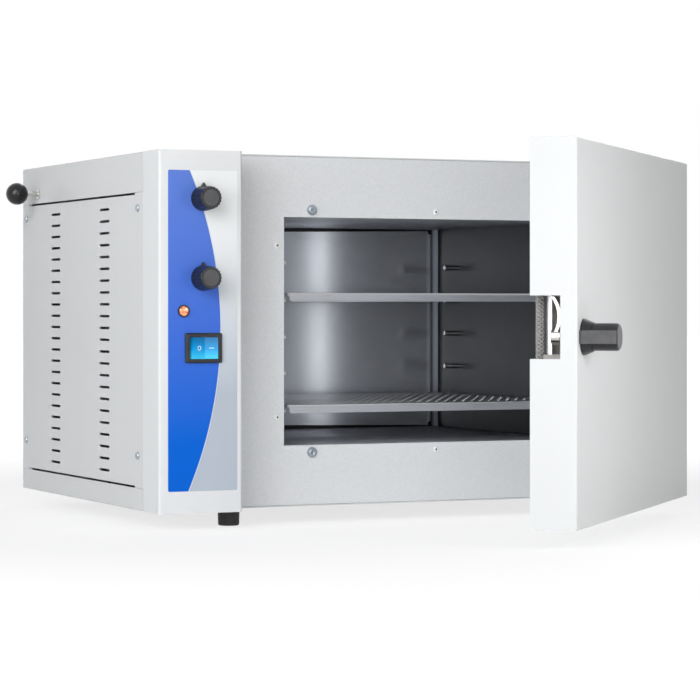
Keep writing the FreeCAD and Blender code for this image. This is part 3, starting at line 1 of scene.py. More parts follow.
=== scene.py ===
import json
import math

import bmesh
import bpy
from mathutils import Matrix, Vector


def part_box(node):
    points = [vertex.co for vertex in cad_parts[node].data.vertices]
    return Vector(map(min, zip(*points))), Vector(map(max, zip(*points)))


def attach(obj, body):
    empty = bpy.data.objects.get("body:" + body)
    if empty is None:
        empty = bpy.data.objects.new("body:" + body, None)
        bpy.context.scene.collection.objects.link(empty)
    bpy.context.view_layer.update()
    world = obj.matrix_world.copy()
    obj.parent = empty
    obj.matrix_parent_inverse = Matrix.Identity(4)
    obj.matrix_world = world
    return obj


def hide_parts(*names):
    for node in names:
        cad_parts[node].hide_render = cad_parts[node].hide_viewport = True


# Looks of a bench-top laboratory oven: powder coat, orange peel, brushed stainless, printed film,
# perforated shelves, braided door seal, cross-recess screws, and the studio round it.

bl_info = {
    "name": "Laboratory Oven Finish",
    "version": (1, 0, 0),
    "blender": (4, 5, 0),
    "location": "View3D > Sidebar > Lab Oven",
    "description": "Dresses the packed oven: paint, steel, film, shelves, seal, fasteners and studio",
    "category": "Object",
}

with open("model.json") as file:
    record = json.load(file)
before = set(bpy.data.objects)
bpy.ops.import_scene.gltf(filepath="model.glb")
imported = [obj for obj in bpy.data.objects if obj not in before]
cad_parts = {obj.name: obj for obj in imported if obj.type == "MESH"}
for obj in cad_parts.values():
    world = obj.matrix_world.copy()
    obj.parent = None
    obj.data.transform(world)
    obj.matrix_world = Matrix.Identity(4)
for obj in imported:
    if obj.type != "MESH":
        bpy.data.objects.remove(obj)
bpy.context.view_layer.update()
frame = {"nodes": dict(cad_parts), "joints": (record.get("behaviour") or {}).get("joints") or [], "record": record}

MM = 0.001
JOINTS = {joint["name"]: joint for joint in frame["joints"]}
HINGE = Vector(JOINTS["door_swing"]["pos_m"])
OPEN_ANGLE = math.radians(-JOINTS["door_swing"]["range_deg"][0])
OPEN = Matrix.Translation(HINGE) @ Matrix.Rotation(OPEN_ANGLE, 4, "Z") @ Matrix.Translation(-HINGE)
FILM_LOW, FILM_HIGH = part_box("control_film")
CHAMBER_LOW, CHAMBER_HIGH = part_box("chamber_back_wall")


def screen_colour(red, green, blue):
    """A colour given as 0 to 255 screen values, made linear."""
    def linear(value):
        value /= 255.0
        return value / 12.92 if value <= 0.04045 else ((value + 0.055) / 1.055) ** 2.4
    return (linear(red), linear(green), linear(blue), 1.0)


def scaled(tint, factor, lift=0.0):
    """A colour made lighter or darker."""
    return tuple(min(1.0, channel * factor + lift) for channel in tint[:3]) + (1.0,)


def box_of(points):
    """The lowest and the highest corner of a list of points."""
    return [Vector(pick(point[k] for point in points) for k in range(3)) for pick in (min, max)]


# Sizes and colours to change

def length(name, text, default):
    return bpy.props.FloatProperty(name=name, description=text, default=default, precision=5,
                                   unit="LENGTH", subtype="DISTANCE")


def colour(name, text, default):
    return bpy.props.FloatVectorProperty(name=name, description=text, default=default, size=4,
                                         min=0.0, max=1.0, subtype="COLOR")


def number(name, text, default, low=0.0, **more):
    return bpy.props.FloatProperty(name=name, description=text, default=default, min=low, **more)


def watts(name, text, default):
    return number(name, text, default, unit="POWER")


def share(name, text, default):
    return number(name, text, default, max=1.0, subtype="FACTOR")


class OvenPaintSettings(bpy.types.PropertyGroup):
    coat_colour: colour("Coat", "Colour of the gloss powder coat", (0.80, 0.81, 0.815, 1.0))
    coat_roughness: share("Roughness", "Roughness of the gloss coat", 0.24)
    peel_colour: colour("Orange peel", "Colour of the front panel's coat", (0.85, 0.862, 0.874, 1.0))
    peel_size: length("Peel size", "Width of one dimple of the orange peel", 1.6 * MM)
    peel_depth: length("Peel depth", "Depth of the orange peel", 0.12 * MM)


class OvenSteelSettings(bpy.types.PropertyGroup):
    steel_colour: colour("Stainless", "Colour of the brushed stainless", (0.66, 0.67, 0.685, 1.0))
    chamber_painted_light_colour: colour("Chamber", "Colour of the chamber at its left", (0.87, 0.90, 0.97, 1.0))
    steel_roughness: share("Roughness", "Roughness of the brushed stainless", 0.27)
    chamber_roughness: share("Chamber roughness", "Roughness of the chamber's back wall", 0.19)
    grain_width: length("Grain width", "Width of one brushing stroke", 0.35 * MM)


class OvenFilmSettings(bpy.types.PropertyGroup):
    blue_top: colour("Blue, top", "Blue field at its top", screen_colour(100, 134, 222))
    blue_middle: colour("Blue, middle", "Blue field halfway down", screen_colour(68, 115, 222))
    blue_bottom: colour("Blue, bottom", "Blue field at its bottom", screen_colour(0, 104, 220))
    grey_top: colour("Grey, top", "Pale field at its top", screen_colour(252, 254, 254))
    grey_bottom: colour("Grey, bottom", "Pale field at its bottom", screen_colour(193, 202, 213))
    arc_radius: length("Arc radius", "Radius of the edge between the two fields", 371 * MM)
    arc_from_left: length("Arc reach", "The arc's furthest point, from the film's left", 52.4 * MM)
    arc_height: length("Arc height", "Height of the arc's furthest point", 189.4 * MM)
    outline: length("Outline", "Width of the light line along the arc", 0.7 * MM)


class OvenShelfSettings(bpy.types.PropertyGroup):
    pitch: length("Hole pitch", "Distance between neighbouring holes", 10.0 * MM)
    hole: length("Hole", "Diameter of a hole", 3.8 * MM)
    margin: length("Margin", "Least solid margin round the holes", 13.0 * MM)
    sheet: length("Sheet", "Thickness of the shelf sheet", 1.0 * MM)


class OvenFastenerSettings(bpy.types.PropertyGroup):
    recess: share("Recess", "Reach of the cross recess as a share of the head", 0.58)
    zinc_colour: colour("Zinc", "Colour of the zinc plating", (0.44, 0.49, 0.54, 1.0))


class OvenSealSettings(bpy.types.PropertyGroup):
    lay: length("Lay", "Length of one turn of a strand", 14.0 * MM)
    strands: bpy.props.IntProperty(name="Strands", description="Strands in each direction",
                                   default=4, min=2, max=8)
    corner: length("Corner", "Radius of the seal's corners", 12.0 * MM)


class OvenStageSettings(bpy.types.PropertyGroup):
    backdrop: colour("Backdrop", "Colour of the floor and background", (1.0, 1.0, 1.0, 1.0))
    floor_glow: number("Floor glow", "How white the floor shows", 1.07, low=1.0)
    glow_share: share("Glow share", "Share of the floor near the oven that shows no shadow", 0.70)
    ambient: number("Ambient", "Strength of the even light", 0.14)
    key: watts("Key", "Power of the key lamp", 36.0)
    front: watts("Front", "Power of the lamp in front", 7.0)
    low: watts("Low", "Power of the low lamp in front", 4.5)
    side: watts("Side", "Power of the lamp on the left side", 8.6)
    corner: watts("Corner", "Power of the lamp on the left front corner", 3.1)
    rear: watts("Rear", "Power of the lamp behind", 30.0)
    door: watts("Door", "Power of the small lamp on the open door", 0.95)
    chamber: watts("Chamber", "Power of the narrow lamps at the chamber's opening", 0.024)


# Node graphs

class Graph:
    """Adds nodes to a tree. A socket given as a value is linked, anything else is set."""

    def __init__(self, tree):
        self.tree = tree

    def feed(self, socket, value):
        if isinstance(value, bpy.types.NodeSocket):
            self.tree.links.new(value, socket)
        elif value is not None:
            socket.default_value = value

    def add(self, kind, *ordered, settings=None, **named):
        made = self.tree.nodes.new(kind)
        for key, value in (settings or {}).items():
            setattr(made, key, value)
        for socket, value in zip(made.inputs, ordered):
            self.feed(socket, value)
        for key, value in named.items():
            self.feed(made.inputs[key.replace("_", " ")], value)
        return made

    def first(self, kind, *ordered, **more):
        """The first output of a new node."""
        return self.add(kind, *ordered, **more).outputs[0]

    def math(self, operation, *values):
        return self.first("ShaderNodeMath", *values, settings={"operation": operation})

    def vary(self, value, amount, start):
        """start, and up to amount more where the value is 1."""
        return self.math("ADD", self.math("MULTIPLY", value, amount), start)

    def vector(self, operation, *values):
        made = self.add("ShaderNodeVectorMath", *values, settings={"operation": operation})
        return made.outputs["Value" if operation in ("DISTANCE", "LENGTH") else "Vector"]

    def split(self, vector):
        return self.add("ShaderNodeSeparateXYZ", vector).outputs

    def join(self, x, y, z):
        return self.first("ShaderNodeCombineXYZ", x, y, z)


class Finish(Graph):
    """A new material with one surface shader."""

    def __init__(self, name, **sockets):
        self.material = bpy.data.materials.new(name)
        self.material.use_nodes = True
        super().__init__(self.material.node_tree)
        self.surface(**sockets)

    def surface(self, **sockets):
        """Sets or links the shader's sockets and returns the material."""
        shader = self.tree.nodes["Principled BSDF"]
        for key, value in sockets.items():
            self.feed(shader.inputs[key.replace("_", " ")], value)
        return self.material


def ramp(graph, factor, stops):
    """A colour ramp through (position, colour) stops."""
    made = graph.add("ShaderNodeValToRGB", factor)
    band = made.color_ramp
    while len(band.elements) < len(stops):
        band.elements.new(0.5)
    for element, (position, value) in zip(band.elements, stops):
        element.position = position
        element.color = value
    return made.outputs["Color"]


def span(graph, value, low, high):
    """0 at low, 1 at high."""
    return graph.first("ShaderNodeMapRange", value, low, high, settings={"clamp": True})


def blend(graph, factor, first, second, mode="MIX"):
    made = graph.add("ShaderNodeMix", settings={"data_type": "RGBA", "blend_type": mode})
    graph.feed(made.inputs["Factor"], factor)
    colours = [socket for socket in made.inputs if socket.type == "RGBA"]
    graph.feed(colours[0], first)
    graph.feed(colours[1], second)
    return next(socket for socket in made.outputs if socket.type == "RGBA")


def place(graph, stretch=(1, 1, 1), turn=(0, 0, 0)):
    """Object coordinates, stretched and turned."""
    at = graph.add("ShaderNodeTexCoord").outputs["Object"]
    return graph.first("ShaderNodeMapping", at, Scale=stretch, Rotation=turn)


def noise(graph, size, detail=2.0, roughness=0.5, stretch=(1, 1, 1), turn=(0, 0, 0)):
    """Noise whose features are about as wide as size."""
    return graph.first("ShaderNodeTexNoise", place(graph, stretch, turn), Scale=1.0 / size,
                       Detail=detail, Roughness=roughness)


def bump(graph, height, depth, strength):
    return graph.first("ShaderNodeBump", Strength=strength, Distance=depth, Height=height)


# Materials

def gloss_coat(name, tint, roughness):
    """Smooth powder coat with a faint drift of shade and the waviness that a gloss coat has."""
    coat = Finish(name, Specular_IOR_Level=0.04)
    drift, fine = noise(coat, 120 * MM), noise(coat, 0.9 * MM, detail=1.0)
    return coat.surface(
        Base_Color=blend(coat, drift, scaled(tint, 0.965), tuple(tint)),
        Roughness=coat.vary(fine, 0.08, roughness - 0.04),
        Normal=bump(coat, noise(coat, 2.4 * MM), depth=0.05 * MM, strength=0.35))


def orange_peel(name, tint, size, depth):
    """Textured powder coat: dimples with a finer grain over them."""
    coat = Finish(name, Coat_Weight=0.15, Coat_Roughness=0.2)
    dimples = coat.add("ShaderNodeTexVoronoi", place(coat), Scale=1.0 / size,
                       settings={"feature": "SMOOTH_F1"}).outputs["Distance"]
    grain = noise(coat, size * 0.7, detail=3.0, roughness=0.6)
    height = coat.math("ADD", coat.math("MULTIPLY", dimples, 0.6), coat.math("MULTIPLY", grain, 0.8))
    return coat.surface(
        Base_Color=ramp(coat, grain, [(0.35, scaled(tint, 0.95)), (0.65, scaled(tint, 1.06))]),
        Roughness=coat.vary(grain, 0.2, 0.25),
        Normal=bump(coat, height, depth, strength=0.8))


def brushed_steel(name, tint, roughness, grain, stretch, tone=None, metal=1.0):
    """Brushed sheet. stretch is 1 across the strokes and small along them; tone, where given, holds the stops of
    painted light and shade across the chamber.
    """
    steel = Finish(name, Metallic=metal, Anisotropic=0.55, Anisotropic_Rotation=0.25)
    strokes, clouds = noise(steel, grain, stretch=stretch), noise(steel, 60 * MM)
    base = ramp(steel, strokes, [(0.3, scaled(tint, 0.94)), (0.7, scaled(tint, 1.05))])
    stain = ramp(steel, clouds, [(0.35, (0.96, 0.96, 0.97, 1)), (0.6, (1, 1, 1, 1))])
    shade = blend(steel, 1.0, base, stain, "MULTIPLY")
    rough = steel.math("ADD", steel.vary(strokes, 0.08, roughness - 0.04),
                       steel.math("MULTIPLY", clouds, 0.05))
    # Where stops are given, the chamber's steel gets painted light and shade.
    return steel.surface(
        Base_Color=chamber_painted_light_and_shade(steel, shade, tone) if tone else shade,
        Roughness=rough,
        Normal=bump(steel, strokes, depth=0.006 * MM, strength=0.4),
        Tangent=steel.first("ShaderNodeTangent", settings={"direction_type": "RADIAL", "axis": "Z"}))


def chamber_painted_light_and_shade(steel, shade, stops):
    """Paints light and shade into the chamber's steel by (share of its width, factor) stops.

    A painted shadow covers what lies behind the back wall, and a painted highlight runs along its right edge.
    """
    at = steel.split(place(steel))
    edge = 1 * MM
    # The two colours below are a painted highlight and a painted shadow.
    painted_highlight, painted_shadow = (0.88, 0.88, 0.90, 1.0), (0.02, 0.02, 0.02, 1.0)
    # Painted light and shade across the chamber's width.
    across = ramp(steel, span(steel, at["X"], CHAMBER_LOW.x, CHAMBER_HIGH.x),
                  [(position, (factor, factor, factor, 1.0)) for position, factor in stops])
    # A painted highlight along the back wall's right edge.
    right = span(steel, at["X"], CHAMBER_HIGH.x - edge, CHAMBER_HIGH.x)
    edge_highlight_mask = steel.math("MULTIPLY", right, span(steel, at["Y"], CHAMBER_LOW.y, CHAMBER_LOW.y + edge))
    # A painted shadow on what lies behind the back wall.
    behind = steel.math("SUBTRACT", span(steel, at["Y"], CHAMBER_HIGH.y, CHAMBER_HIGH.y + edge), right)
    shade = blend(steel, edge_highlight_mask, blend(steel, 1.0, shade, across, "MULTIPLY"), painted_highlight)
    return blend(steel, steel.math("MAXIMUM", behind, 0.0), shade, painted_shadow)


def plated(name, tint, roughness, size=1.2 * MM):
    """Plated metal with slight mottling."""
    metal = Finish(name, Metallic=1.0)
    mottle = noise(metal, size, detail=3.0, roughness=0.6)
    return metal.surface(
        Base_Color=ramp(metal, mottle, [(0.3, scaled(tint, 0.82)), (0.7, tuple(tint))]),
        Roughness=metal.vary(mottle, 0.14, roughness - 0.07),
        Normal=bump(metal, mottle, depth=0.02 * MM, strength=0.3))


def moulded(name, tint, roughness, depth=0.02 * MM, size=0.5 * MM, coat=0.0, gloss=0.5):
    """Moulded plastic or rubber with a fine spark-eroded grain, lighter where it is worn."""
    plastic = Finish(name, Coat_Weight=coat, Coat_Roughness=0.08, Specular_IOR_Level=gloss)
    grain = noise(plastic, size, roughness=0.6)
    wear = noise(plastic, 9 * MM, detail=3.0)
    return plastic.surface(
        Base_Color=ramp(plastic, wear, [(0.35, tuple(tint)), (0.75, scaled(tint, 1.5, lift=0.004))]),
        Roughness=plastic.vary(grain, 0.15, roughness - 0.07),
        Normal=bump(plastic, grain, depth, strength=0.5))


def fibre(name, tint, size=1.1 * MM):
    """Fibre board or glass rope: tangled threads."""
    board = Finish(name, Roughness=0.95, Sheen_Weight=0.25)
    threads = noise(board, size, detail=5.0, roughness=0.75, stretch=(1.0, 1.0, 3.5),
                    turn=(0.5, 0.4, 0.0))
    return board.surface(
        Base_Color=ramp(board, threads, [(0.3, scaled(tint, 0.6)), (0.7, tuple(tint))]),
        Normal=bump(board, threads, depth=0.3 * MM, strength=0.7))


def lit_lens(name, tint, glow, strength, size):
    """A translucent lens lit from inside, brighter in patches where its ribs catch the light."""
    lens = Finish(name, Roughness=0.16, Coat_Weight=0.6, Coat_Roughness=0.05,
                  Emission_Strength=strength)
    patches = lens.add("ShaderNodeTexVoronoi", place(lens), Scale=1.0 / size).outputs["Distance"]
    return lens.surface(
        Base_Color=ramp(lens, patches, [(0.2, tint), (0.8, glow)]),
        Emission_Color=ramp(lens, patches, [(0.1, tint), (0.75, glow)]),
        Normal=bump(lens, patches, depth=0.3 * MM, strength=0.4))


def rocker_plastic():
    """Blue translucent rocker, glowing more towards its lower edge."""
    rocker = Finish("blue_rocker_plastic", Roughness=0.2, Coat_Weight=0.5, Coat_Roughness=0.05,
                    Emission_Strength=0.35)
    low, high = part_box("switch_rocker")
    shade = ramp(rocker, span(rocker, rocker.split(place(rocker))["Z"], low.z, high.z), [
        (0.0, screen_colour(60, 200, 240)), (0.45, screen_colour(0, 150, 215)),
        (1.0, screen_colour(0, 92, 150))])
    return rocker.surface(
        Base_Color=shade, Emission_Color=shade,
        Normal=bump(rocker, noise(rocker, 1.5 * MM), depth=0.03 * MM, strength=0.3))


def printed_film(settings):
    """Two printed fields that meet in an arc with a light line along it. Both fields are lighter towards the top:
    partly the print, partly painted light.
    """
    film = Finish("printed_control_film", Specular_IOR_Level=0.12)
    at = film.split(place(film))
    centre_x = FILM_LOW.x + settings.arc_from_left - settings.arc_radius
    reach = film.vector("DISTANCE", film.join(at["X"], 0.0, at["Z"]),
                        (centre_x, 0.0, settings.arc_height))
    level = span(film, at["Z"], FILM_LOW.z, FILM_HIGH.z)
    low_blue, low_grey = tuple(settings.blue_bottom), tuple(settings.grey_bottom)
    # The fields' top-to-bottom ramps hold painted light as well as the print.
    blue_print_and_painted_light = ramp(film, level, [(0.0, low_blue), (0.15, low_blue),
                                    (0.5, tuple(settings.blue_middle)), (1.0, tuple(settings.blue_top))])
    grey_print_and_painted_light = ramp(film, level, [(0.0, low_grey), (0.3, low_grey), (0.85, tuple(settings.grey_top))])
    soft = 0.12 * MM
    inner = settings.arc_radius
    outer = inner + settings.outline
    line = blend(film, span(film, reach, outer, outer + 2 * soft), screen_colour(226, 232, 240),
                 grey_print_and_painted_light)
    fine = noise(film, 0.6 * MM)
    return film.surface(
        Base_Color=blend(film, span(film, reach, inner, inner + soft), blue_print_and_painted_light, line),
        Roughness=film.vary(fine, 0.08, 0.33),
        Normal=bump(film, fine, depth=0.01 * MM, strength=0.3))


# Painted light and shade across the chamber: painted light on the back wall's left with a painted highlight band,
# painted shade to its right, two painted highlights on its folded edge with painted shade between them; and
# painted light on the liner's left with painted shade on its right wall
BACK_PAINTED_LIGHT_AND_SHADE = [(0.0, 0.95), (0.50, 0.95), (0.58, 1.0), (0.66, 0.74), (0.78, 0.72), (0.966, 0.64),
             (0.970, 1.0), (0.978, 1.0), (0.981, 0.2), (0.986, 0.2), (0.989, 1.0), (1.0, 1.0)]
LINER_PAINTED_LIGHT_AND_SHADE = [(0.0, 1.0), (0.5, 1.0), (0.7, 0.8), (0.97, 0.6), (0.995, 0.06), (1.0, 0.06)]
LEVEL_STROKES, UPRIGHT_STROKES = (0.02, 0.02, 1.0), (0.02, 1.0, 1.0)


def build_palette(scene):
    """Every finish, by the record's slot name or the name in OWN_FINISH."""
    paint, steel = scene.oven_paint, scene.oven_steel
    grain, chamber = steel.grain_width, steel.chamber_painted_light_colour
    return {
        "case_paint": gloss_coat("gloss_powder_coat", paint.coat_colour, paint.coat_roughness),
        # The control box gets the gloss coat made lighter: painted light on the same paint.
        "box_paint": gloss_coat("control_box_coat", scaled(paint.coat_colour, 1.09),
                                paint.coat_roughness),
        "panel_paint": orange_peel("orange_peel_coat", paint.peel_colour, paint.peel_size,
                                   paint.peel_depth),
        "stainless": brushed_steel("brushed_stainless", steel.steel_colour, steel.steel_roughness,
                                   grain, LEVEL_STROKES),
        "door_steel": brushed_steel("door_panel_steel", steel.steel_colour, steel.steel_roughness,
                                    grain, LEVEL_STROKES),
        # The chamber's steel is the stainless made lighter and bluer: painted light, with painted light and shade
        # across it by the stops.
        "liner_steel": brushed_steel("chamber_steel", chamber, steel.steel_roughness, grain,
                                     UPRIGHT_STROKES, LINER_PAINTED_LIGHT_AND_SHADE, 0.6),
        "back_steel": brushed_steel("back_wall_steel", chamber, steel.chamber_roughness, grain,
                                    UPRIGHT_STROKES, BACK_PAINTED_LIGHT_AND_SHADE, 0.75),
        "stud_steel": plated("stud_steel", (0.80, 0.80, 0.81, 1.0), 0.22, 3 * MM),
        "film": printed_film(scene.oven_film),
        "zinc": plated("zinc_plating", scene.oven_fasteners.zinc_colour, 0.32),
        "white_rivet": moulded("white_rivet_paint", (0.95, 0.95, 0.94, 1.0), 0.4, depth=0.01 * MM),
        "rubber": moulded("foot_rubber", (0.012, 0.012, 0.012, 1.0), 0.6, 0.05 * MM, 0.8 * MM),
        "black_plastic": moulded("black_plastic", (0.010, 0.010, 0.012, 1.0), 0.3, 0.015 * MM,
                                 0.4 * MM, coat=0.05, gloss=0.35),
        "grey_plastic": moulded("grey_plastic", (0.055, 0.055, 0.058, 1.0), 0.45),
        "black_ball": moulded("ball_gloss", (0.006, 0.006, 0.007, 1.0), 0.14, 0.002 * MM, 3 * MM,
                              coat=0.15, gloss=0.3),
        "nickel": plated("bright_nickel", (0.70, 0.685, 0.65, 1.0), 0.16, 4 * MM),
        "board": fibre("fibre_board", (0.66, 0.64, 0.60, 1.0)),
        "rope": fibre("glass_rope", (0.50, 0.49, 0.47, 1.0), 0.5 * MM),
        "heater": plated("oxidised_sheath", (0.20, 0.18, 0.16, 1.0), 0.5),
        "copper": plated("bare_copper", (0.72, 0.40, 0.26, 1.0), 0.3),
        "orange_lens": lit_lens("orange_lens", screen_colour(196, 70, 24),
                                screen_colour(250, 176, 120), 0.32, 3.2 * MM),
        "blue_lens": rocker_plastic(),
        "ceramic": moulded("ceramic", (0.70, 0.68, 0.63, 1.0), 0.5),
        "wire": moulded("silicone_sleeve", (0.30, 0.06, 0.045, 1.0), 0.5),
    }


PALETTE = {}
OWN_FINISH = {"chamber_liner": "liner_steel", "chamber_back_wall": "back_steel",
              "door_inner_panel": "door_steel", "shelf_studs": "stud_steel", "control_box": "box_paint"}


def dress(objects):
    """Gives CAD nodes their finish by the record's slot, or their own."""
    slots = {row["node"]: row["material_slot"] for row in frame["record"]["subparts"]}
    for node, obj in objects.items():
        obj.data.materials.clear()
        obj.data.materials.append(PALETTE[OWN_FINISH.get(node, slots[node])])
        for face in obj.data.polygons:
            face.material_index = 0


# Meshes

def in_scene(name, data):
    """A new object, linked to the scene."""
    obj = bpy.data.objects.new(name, data)
    bpy.context.scene.collection.objects.link(obj)
    return obj


def new_object(name, mesh, slot, body, *nodes):
    """Puts a finished mesh into the scene, on its body."""
    obj = in_scene(name, mesh)
    mesh.name = name
    if not mesh.materials:
        mesh.materials.append(PALETTE[slot])
    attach(obj, body)
    if nodes:
        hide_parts(*nodes)
    return obj


def as_mesh(build, name="scratch"):
    mesh = bpy.data.meshes.new(name)
    build.to_mesh(mesh)
    build.free()
    return mesh


def face_outward(build):
    bmesh.ops.recalc_face_normals(build, faces=build.faces)


def turned(profile, segments):
    """A surface of revolution about +Z from (radius, height) pairs; ends on the axis are closed."""
    build = bmesh.new()
    rings = []
    for radius, height in profile:
        count = segments if radius > 1e-7 else 1
        turns = [2 * math.pi * k / segments for k in range(count)]
        rings.append([build.verts.new((radius * math.cos(turn), radius * math.sin(turn), height))
                      for turn in turns])
    for lower, upper in zip(rings, rings[1:]):
        for k in range(segments):
            corners = [lower[k % len(lower)], lower[(k + 1) % len(lower)],
                       upper[(k + 1) % len(upper)], upper[k % len(upper)]]
            build.faces.new(list(dict.fromkeys(corners)))
    return build


HEAD_SEGMENTS = 24
# Curves of a pan head and of a rivet head: shares of the radius and of the height
PAN_CURVE = ((1.0, 0.38), (0.955, 0.66), (0.86, 0.88), (0.72, 1.0))
RIVET_CURVE = ((1.0, 0.0), (0.985, 0.25), (0.86, 0.62), (0.62, 0.9))
RIVET_RADIUS, RIVET_HEIGHT = 3.1 * MM, 1.2 * MM
RIVET_CORE = RIVET_RADIUS * 0.36


def cross_head(radius, height, recess, washer=0.0, washer_sheet=0.0):
    """A pan head with a cross recess, seated at z = 0 and facing +Z, with a washer if wanted."""
    if washer:
        rim = 0.15 * MM
        profile = [(washer, 0.0), (washer, washer_sheet - rim), (washer - rim, washer_sheet),
                   (radius, washer_sheet)]
    else:
        profile = [(radius, 0.0)]
    profile += [(radius * out, washer_sheet + height * up) for out, up in PAN_CURVE]
    build = turned(profile, HEAD_SEGMENTS)
    build.verts.ensure_lookup_table()
    rim_verts = build.verts[-HEAD_SEGMENTS:]
    top = washer_sheet + height
    reach, arm = radius * recess, radius * 0.13
    narrowing, depth = 0.72, height * 0.7
    plus = [(reach, -arm), (reach, arm), (arm, arm)]
    for _ in range(3):
        plus += [(-y, x) for x, y in plus[-3:]]
    mouth = [build.verts.new((x, y, top)) for x, y in plus]
    floor = [build.verts.new((x * narrowing, y * narrowing, top - depth)) for x, y in plus]
    edges = [build.edges.new(pair) for pair in zip(mouth, mouth[1:] + mouth[:1])]
    edges += [edge for edge in build.edges
              if edge.is_boundary and all(vert in rim_verts for vert in edge.verts)]
    bmesh.ops.triangle_fill(build, use_beauty=True, edges=edges, normal=(0, 0, 1))
    for corners in zip(mouth, mouth[1:] + mouth[:1], floor[1:] + floor[:1], floor):
        build.faces.new(corners)
    build.faces.new(floor)
    face_outward(build)
    for face in build.faces:
        above_washer = face.calc_center_median().z > washer_sheet * 0.9
        face.smooth = abs(face.normal.z) < 0.98 and above_washer
    return as_mesh(build)


def rivet_head():
    """A domed blind rivet with its hollow stem hole."""
    dome = [(RIVET_RADIUS * out, RIVET_HEIGHT * up) for out, up in RIVET_CURVE]
    hole = [(RIVET_CORE * 1.35, RIVET_HEIGHT), (RIVET_CORE, RIVET_HEIGHT * 0.86),
            (RIVET_CORE, -0.4 * MM), (0.0, -0.5 * MM)]
    build = turned(dome + hole, HEAD_SEGMENTS)
    face_outward(build)
    for face in build.faces:
        face.smooth = True
    return as_mesh(build)


def rivet_stem():
    """The stub of the mandrel that stays in a blind rivet, a little wider than the hole."""
    radius, top = RIVET_CORE * 1.03, RIVET_HEIGHT * 0.45
    return as_mesh(turned([(radius, 0.0), (radius, top), (0.0, top)], 16))


def islands(node):
    """The separate solids of a CAD node, each as a list of points, in a fixed order."""
    build = bmesh.new()
    build.from_mesh(frame["nodes"][node].data)
    bmesh.ops.remove_doubles(build, verts=build.verts, dist=0.002 * MM)
    build.verts.index_update()
    seen, found = set(), []
    for start in build.verts:
        if start.index in seen:
            continue
        seen.add(start.index)
        stack, group = [start], []
        while stack:
            vert = stack.pop()
            group.append(vert.co.copy())
            for edge in vert.link_edges:
                other = edge.other_vert(vert)
                if other.index not in seen:
                    seen.add(other.index)
                    stack.append(other)
        found.append(group)
    build.free()
    return found


def seats(node, axes):
    """Where each fastener of a CAD node seats, and the outward axis of its head."""
    found = []
    for points in islands(node):
        low, high = box_of(points)
        middle = (low + high) / 2
        best = None
        for axis in map(Vector, axes):
            arms = [point - middle for point in points]
            radii = [(arm - axis * arm.dot(axis)).length for arm in arms]
            if best is None or max(radii) < best[0] - 0.1 * MM:
                best = (max(radii), axis, radii)
        widest, axis, radii = best
        heights = [point.dot(axis) for point in points]
        head = [height for height, radius in zip(heights, radii) if radius > widest * 0.95]
        if sum(head) / len(head) < (min(heights) + max(heights)) / 2:
            axis = -axis
            head = [-height for height in head]
        found.append((middle + axis * (min(head) - middle.dot(axis)), axis))
    return found


# Geometry node trees

def node_tree(name, inputs):
    """An empty geometry tree with named inputs: its graph, its input sockets and its output node."""
    tree = bpy.data.node_groups.new(name, "GeometryNodeTree")
    for label, kind in [("Geometry", "Geometry")] + inputs + [("Finish", "Material")]:
        tree.interface.new_socket(label, in_out="INPUT", socket_type="NodeSocket" + kind)
    tree.interface.new_socket("Geometry", in_out="OUTPUT", socket_type="NodeSocketGeometry")
    graph = Graph(tree)
    return graph, graph.add("NodeGroupInput").outputs, graph.add("NodeGroupOutput")


def hand_over(graph, given, leave, geometry):
    """Gives the tree's result its finish."""
    graph.feed(leave.inputs[0],
               graph.first("GeometryNodeSetMaterial", geometry, Material=given["Finish"]))


def run_tree(mesh, tree, values, modifiers=()):
    """Runs a geometry tree on a mesh or a curve, and returns the plain mesh that comes out."""
    carrier = in_scene("carrier", mesh)
    modifier = carrier.modifiers.new("tree", "NODES")
    modifier.node_group = bpy.data.node_groups[tree]
    for item in modifier.node_group.interface.items_tree:
        if item.item_type == "SOCKET" and item.in_out == "INPUT" and item.name in values:
            modifier[item.identifier] = values[item.name]
    for kind, settings in modifiers:
        extra = carrier.modifiers.new(kind.lower(), kind)
        for key, value in settings.items():
            setattr(extra, key, value)
    bpy.context.view_layer.update()
    done = carrier.evaluated_get(bpy.context.evaluated_depsgraph_get())
    result = bpy.data.meshes.new_from_object(done)
    bpy.data.objects.remove(carrier)
    return result


def fastener_tree():
    """Stands a head on every point, facing along the point's aim and turned by its turn."""
    graph, given, leave = node_tree("fastener_rows", [("Head", "Object"), ("Size", "Float")])
    head = graph.add("GeometryNodeObjectInfo", given["Head"]).outputs["Geometry"]
    aim, turn = (graph.add("GeometryNodeInputNamedAttribute", name,
                           settings={"data_type": kind}).outputs["Attribute"]
                 for name, kind in (("aim", "FLOAT_VECTOR"), ("turn", "FLOAT")))
    upright = graph.first("FunctionNodeAlignRotationToVector", settings={"axis": "Z"}, Vector=aim)
    rotation = graph.first("FunctionNodeRotateRotation", upright, graph.join(0.0, 0.0, turn),
                           settings={"rotation_space": "LOCAL"})
    heads = graph.first("GeometryNodeInstanceOnPoints", given["Geometry"], Instance=head,
                        Rotation=rotation, Scale=given["Size"])
    hand_over(graph, given, leave, graph.first("GeometryNodeRealizeInstances", heads))


